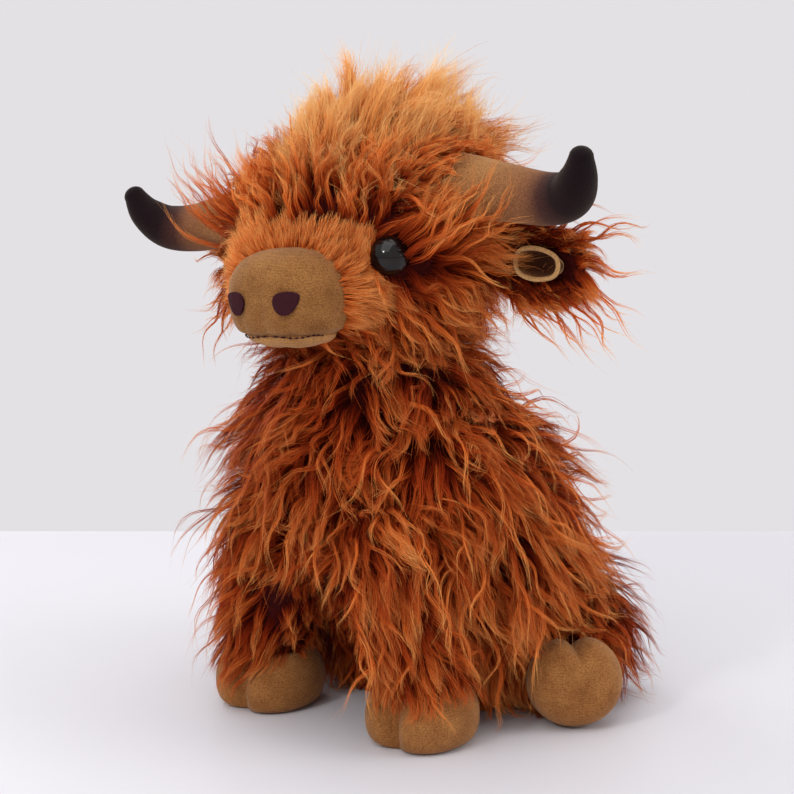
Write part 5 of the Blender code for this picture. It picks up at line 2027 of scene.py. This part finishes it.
@dataclass
class Tail:
    """A slim tail with a tuft."""

    root_height: float = 66 * MM
    tuft_radius: float = 8.5 * MM
    coat: Coat = Coat(2.6 * MM, 14, 12 * MM, lift=0.3, wave=0.3, gravity=0.5, spread=1.6 * MM)
    tuft_coat: Coat = Coat(
        2.6 * MM, 22, 22 * MM, lift=0.35, wave=0.5, wavelength=20 * MM, gravity=0.5, spread=2.0 * MM
    )

    def line(self, node: str, radius: float, inset: float) -> SweptForm:
        """A form down a tail piece's solid.

        Args:
            node: the solid.
            radius: its greatest radius.
            inset: how far to draw it in.

        Returns:
            The form, from top to bottom.
        """
        low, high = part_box(node)
        rows = []
        for share in np.linspace(0.02, 0.98, 7):
            height = low.z + (high.z - low.z) * share
            near = [
                v.co for v in frame["nodes"][node].data.vertices if abs(v.co.z - height) < 5 * MM
            ]
            centre = sum(near, Vector()) / max(len(near), 1)
            reach = radius * math.sin(math.pi * (0.12 + 0.76 * share)) - inset
            rows.append((height, centre.x, centre.y, reach, reach))
        return SweptForm(np.array(rows), np.eye(4))

    def build(self, rng: np.random.Generator) -> None:
        """Makes the skins and fur of the tail and its tuft."""
        for node, radius, finish, coat in (
            ("tail", 5 * MM, LONG_FUR, self.coat),
            ("tail_tuft", self.tuft_radius, CROWN_FUR, self.tuft_coat),
        ):
            form = self.line(node, radius, 2.0 * MM)
            grid = form.rings(16, 24)
            skin = capped(f"{node}_skin", grid, finish.skin_material())
            settled(skin, "tail", finish.slot, node, fill=0.6)
            roots = form.scattered(coat.spacing)
            roots.comb = on_surface(-UP, roots.normal)
            roots.tone = np.full(len(roots.place), 0.5)
            roots.length = np.interp(roots.place[:, 2], [8 * MM, 40 * MM], [0.4, 1.0])
            Fur(node, coat, finish, "tail", rng, [form]).grow(roots)


@dataclass
class Studio:
    """Pale floor, wall tone, soft lamps and the photograph's camera."""

    azimuth: float = math.radians(38)
    elevation: float = math.radians(10)
    distance: float = 0.85
    lens: float = 93.3
    target: tuple = (10 * MM, -8 * MM, 135 * MM)
    wall: float = 0.30

    def camera(self) -> None:
        """Puts the camera at the photograph's angle."""
        data = bpy.data.cameras.new("camera")
        data.lens = self.lens
        data.sensor_width = 36
        data.clip_start = 0.01
        made = bpy.data.objects.new("camera", data)
        bpy.context.scene.collection.objects.link(made)
        level = math.cos(self.elevation)
        away = Vector(
            (
                math.sin(self.azimuth) * level,
                -math.cos(self.azimuth) * level,
                math.sin(self.elevation),
            )
        )
        target = Vector(self.target) + Vector(PATTERN_SHIFT)
        made.location = target + away * self.distance
        made.rotation_euler = away.to_track_quat("Z", "Y").to_euler()
        bpy.context.scene.camera = made

    def lamp(
        self, name: str, place: tuple, size: float, power: float, colour: tuple = (1, 1, 1)
    ) -> None:
        """A soft square lamp that looks at the toy."""
        data = bpy.data.lights.new(name, "AREA")
        data.size = size
        data.energy = power
        data.color = colour
        made = bpy.data.objects.new(name, data)
        bpy.context.scene.collection.objects.link(made)
        made.location = place
        away = Vector(place) - Vector((0, 0, 0.12))
        made.rotation_euler = away.to_track_quat("Z", "Y").to_euler()

    def floor(self) -> None:
        """The pale floor, which ends where the wall starts."""
        back = np.array((-math.sin(self.azimuth), math.cos(self.azimuth), 0))
        aside = np.array((back[1], -back[0], 0))
        far = back * self.wall
        points = [far + aside * 4, far - aside * 4, -back * 4 - aside * 4, -back * 4 + aside * 4]
        made = new_mesh("floor", np.array(points), [(0, 1, 2, 3)])
        paint = Paint("floor_white")
        shades = [(0.3, (0.725, 0.71, 0.75)), (0.7, (0.745, 0.73, 0.77))]
        paint.colour(paint.ramp(paint.noise(0.3), shades))
        paint.surface(0.45, 0.3)
        made.data.materials.append(paint.material)

    def world(self) -> None:
        """A pale backdrop for the camera and soft light for the toy."""
        world = bpy.data.worlds.new("studio")
        world.use_nodes = True
        tree = world.node_tree
        tree.nodes.clear()
        rays = tree.nodes.new("ShaderNodeLightPath")
        seen = tree.nodes.new("ShaderNodeBackground")
        seen.inputs["Color"].default_value = (0.775, 0.752, 0.775, 1)
        light = tree.nodes.new("ShaderNodeBackground")
        light.inputs["Color"].default_value = (0.95, 0.97, 1.0, 1)
        light.inputs["Strength"].default_value = 0.45
        either = tree.nodes.new("ShaderNodeMath")
        either.operation = "MAXIMUM"
        again = tree.nodes.new("ShaderNodeMath")
        again.operation = "MAXIMUM"
        mix = tree.nodes.new("ShaderNodeMixShader")
        out = tree.nodes.new("ShaderNodeOutputWorld")
        tree.links.new(rays.outputs["Is Camera Ray"], either.inputs[0])
        tree.links.new(rays.outputs["Is Glossy Ray"], either.inputs[1])
        tree.links.new(either.outputs[0], again.inputs[0])
        tree.links.new(rays.outputs["Is Transmission Ray"], again.inputs[1])
        tree.links.new(again.outputs[0], mix.inputs["Fac"])
        tree.links.new(light.outputs[0], mix.inputs[1])
        tree.links.new(seen.outputs[0], mix.inputs[2])
        tree.links.new(mix.outputs[0], out.inputs["Surface"])
        bpy.context.scene.world = world

    def build(self) -> None:
        """Sets the whole stage."""
        bpy.context.scene.view_settings.view_transform = "Standard"
        self.camera()
        self.floor()
        self.world()
        self.lamp("key", (0.1, -0.9, 1.35), 1.3, 8.5)
        self.lamp("top", (0.0, 0.25, 1.7), 1.5, 10.5, (1.0, 0.98, 0.96))
        self.lamp("left", (1.4, 0.6, 0.7), 0.9, 7.5)
        self.lamp("right", (-1.5, 0.3, 0.7), 0.9, 7.5)
        self.lamp("spark", (0.0, -1.0, 0.66), 0.1, 2.6)


def dress_small_nodes() -> None:
    """Gives the carried-over solids their own finishes."""
    plain = Paint("washer_moulding")
    plain.colour(
        plain.ramp(plain.noise(4 * MM), [(0.3, (0.68, 0.68, 0.65)), (0.7, (0.76, 0.76, 0.73))])
    )
    plain.value("Roughness", 0.45)
    cloth = Paint("woven_cloth")
    weave = cloth.bands(260.0, "DIAGONAL", 2.0)
    cloth.colour(cloth.ramp(weave, [(0.2, (0.13, 0.035, 0.012)), (0.8, (0.24, 0.07, 0.022))]))
    cloth.value("Roughness", 0.9)
    cloth.bump(weave, 0.2 * MM)
    fibre = Paint("white_fibre")
    fluff = fibre.noise(1.2 * MM, 5.0)
    fibre.colour(fibre.ramp(fluff, [(0.3, (0.6, 0.6, 0.58)), (0.7, (0.86, 0.86, 0.83))]))
    fibre.value("Roughness", 0.95)
    fibre.bump(fluff, 0.6 * MM)
    finishes = {
        "nostril": stitching(),
        "eye_washer": plain.material,
        "seat_panel": cloth.material,
        "pellet_bag": fibre.material,
        "neck_stuffing": fibre.material,
    }
    for name, node in frame["nodes"].items():
        for start, finish in finishes.items():
            if name.startswith(start):
                node.data.materials.clear()
                node.data.materials.append(finish)


def main() -> None:
    """Builds the toy piece by piece."""
    logging.basicConfig(level=logging.INFO, format="%(message)s")
    Studio().build()
    dress_small_nodes()
    rng = np.random.default_rng(SEED)
    torso, head, crown = Torso(), Head(), Crown()
    front, hind, horns, ears, eyes = FrontLegs(), HindLegs(), Horns(), Ears(), Eyes()
    legs = [(front, front.leg(side)) for side in Side] + [(hind, hind.leg(side)) for side in Side]
    for part in (torso, head, crown):
        part.skin()
    Muzzle().build()
    for side in Side:
        eyes.build(side)
        horns.build(side)
    for _, leg in legs:
        leg.build()
    torso_form = torso.form(torso.pile)
    head_form = head.form(head.pile)
    leg_forms = [leg.form(leg.pile) for _, leg in legs]

    roots = torso_form.scattered(torso.coat.spacing, 0.02, 0.97)
    for form in leg_forms:
        roots = roots.kept(~form.holds(roots.place, -4 * MM))
    roots = roots.kept(~head_form.holds(roots.place, -3 * MM))
    roots = torso.comb(roots, rng)
    arch = torso.arch()
    fur = Fur("body", torso.coat, LONG_FUR, "body", rng, [torso_form, *leg_forms], arch)
    fur.grow(roots)
    rearward = np.interp(roots.place[:, 1], [40 * MM, 70 * MM], [1.0, 0.65])
    fur.grow_wisps(roots, torso.coat.spacing, rearward)

    for kind, leg in legs:
        leg.grow(kind.comb(leg.side, rng), [torso.form(torso.pile + 3 * MM)], arch, rng)

    horn_balls = [ball for side in Side for ball in horns.obstacles(side)]
    eye_balls = [eyes.ball(side) for side in Side]
    everything = clear_of(head_form.scattered(head.finest), horn_balls + eye_balls, 0.5 * MM)
    everything, brow, bridge = head.comb(everything, eye_balls, rng)
    crowned = crown.form().holds(everything.place, -2 * MM)
    pick = rng.random(len(crowned))
    for name, coat, mask in (
        ("brow", head.brow, brow & ~crowned),
        ("bridge", head.bridge, bridge & ~crowned),
        ("cheek", head.cheek, ~brow & ~bridge & ~crowned),
    ):
        thin = pick < (head.finest / coat.spacing) ** 2
        around = [head_form, *horn_balls, *eye_balls]
        fur = Fur(name, coat, LONG_FUR, "head", rng, around)
        fur.grow(everything.kept(mask & thin))
        if name != "bridge":
            fur.drops = eye_balls
            fur.grow_wisps(everything.kept(mask), head.finest, head.wisp, 1.3)

    temples = head.temples(head_form.scattered(head.temple.spacing, 0.2, 0.85), rng)
    Fur("temple", head.temple, LONG_FUR, "head", rng, [head_form, *horn_balls]).grow(temples)

    roots = clear_of(crown.form().scattered(crown.coat.spacing), horn_balls, 1 * MM)
    roots = crown.comb(roots, rng)
    Fur("crown", crown.coat, CROWN_FUR, "head", rng, horn_balls, eye_balls).grow(roots)

    Fur("nape", head.cheek, LONG_FUR, "head", rng, [head_form]).grow(head.nape(rng))

    for side in Side:
        fur = Fur(f"horn_seam_{side.word}", horns.cuff, LONG_FUR, "head", rng, horn_balls)
        fur.grow(horns.cuff_roots(side, rng))
        ears.build(side, rng, horn_balls)
    Tail().build(rng)


if __name__ == "__main__":
    main()
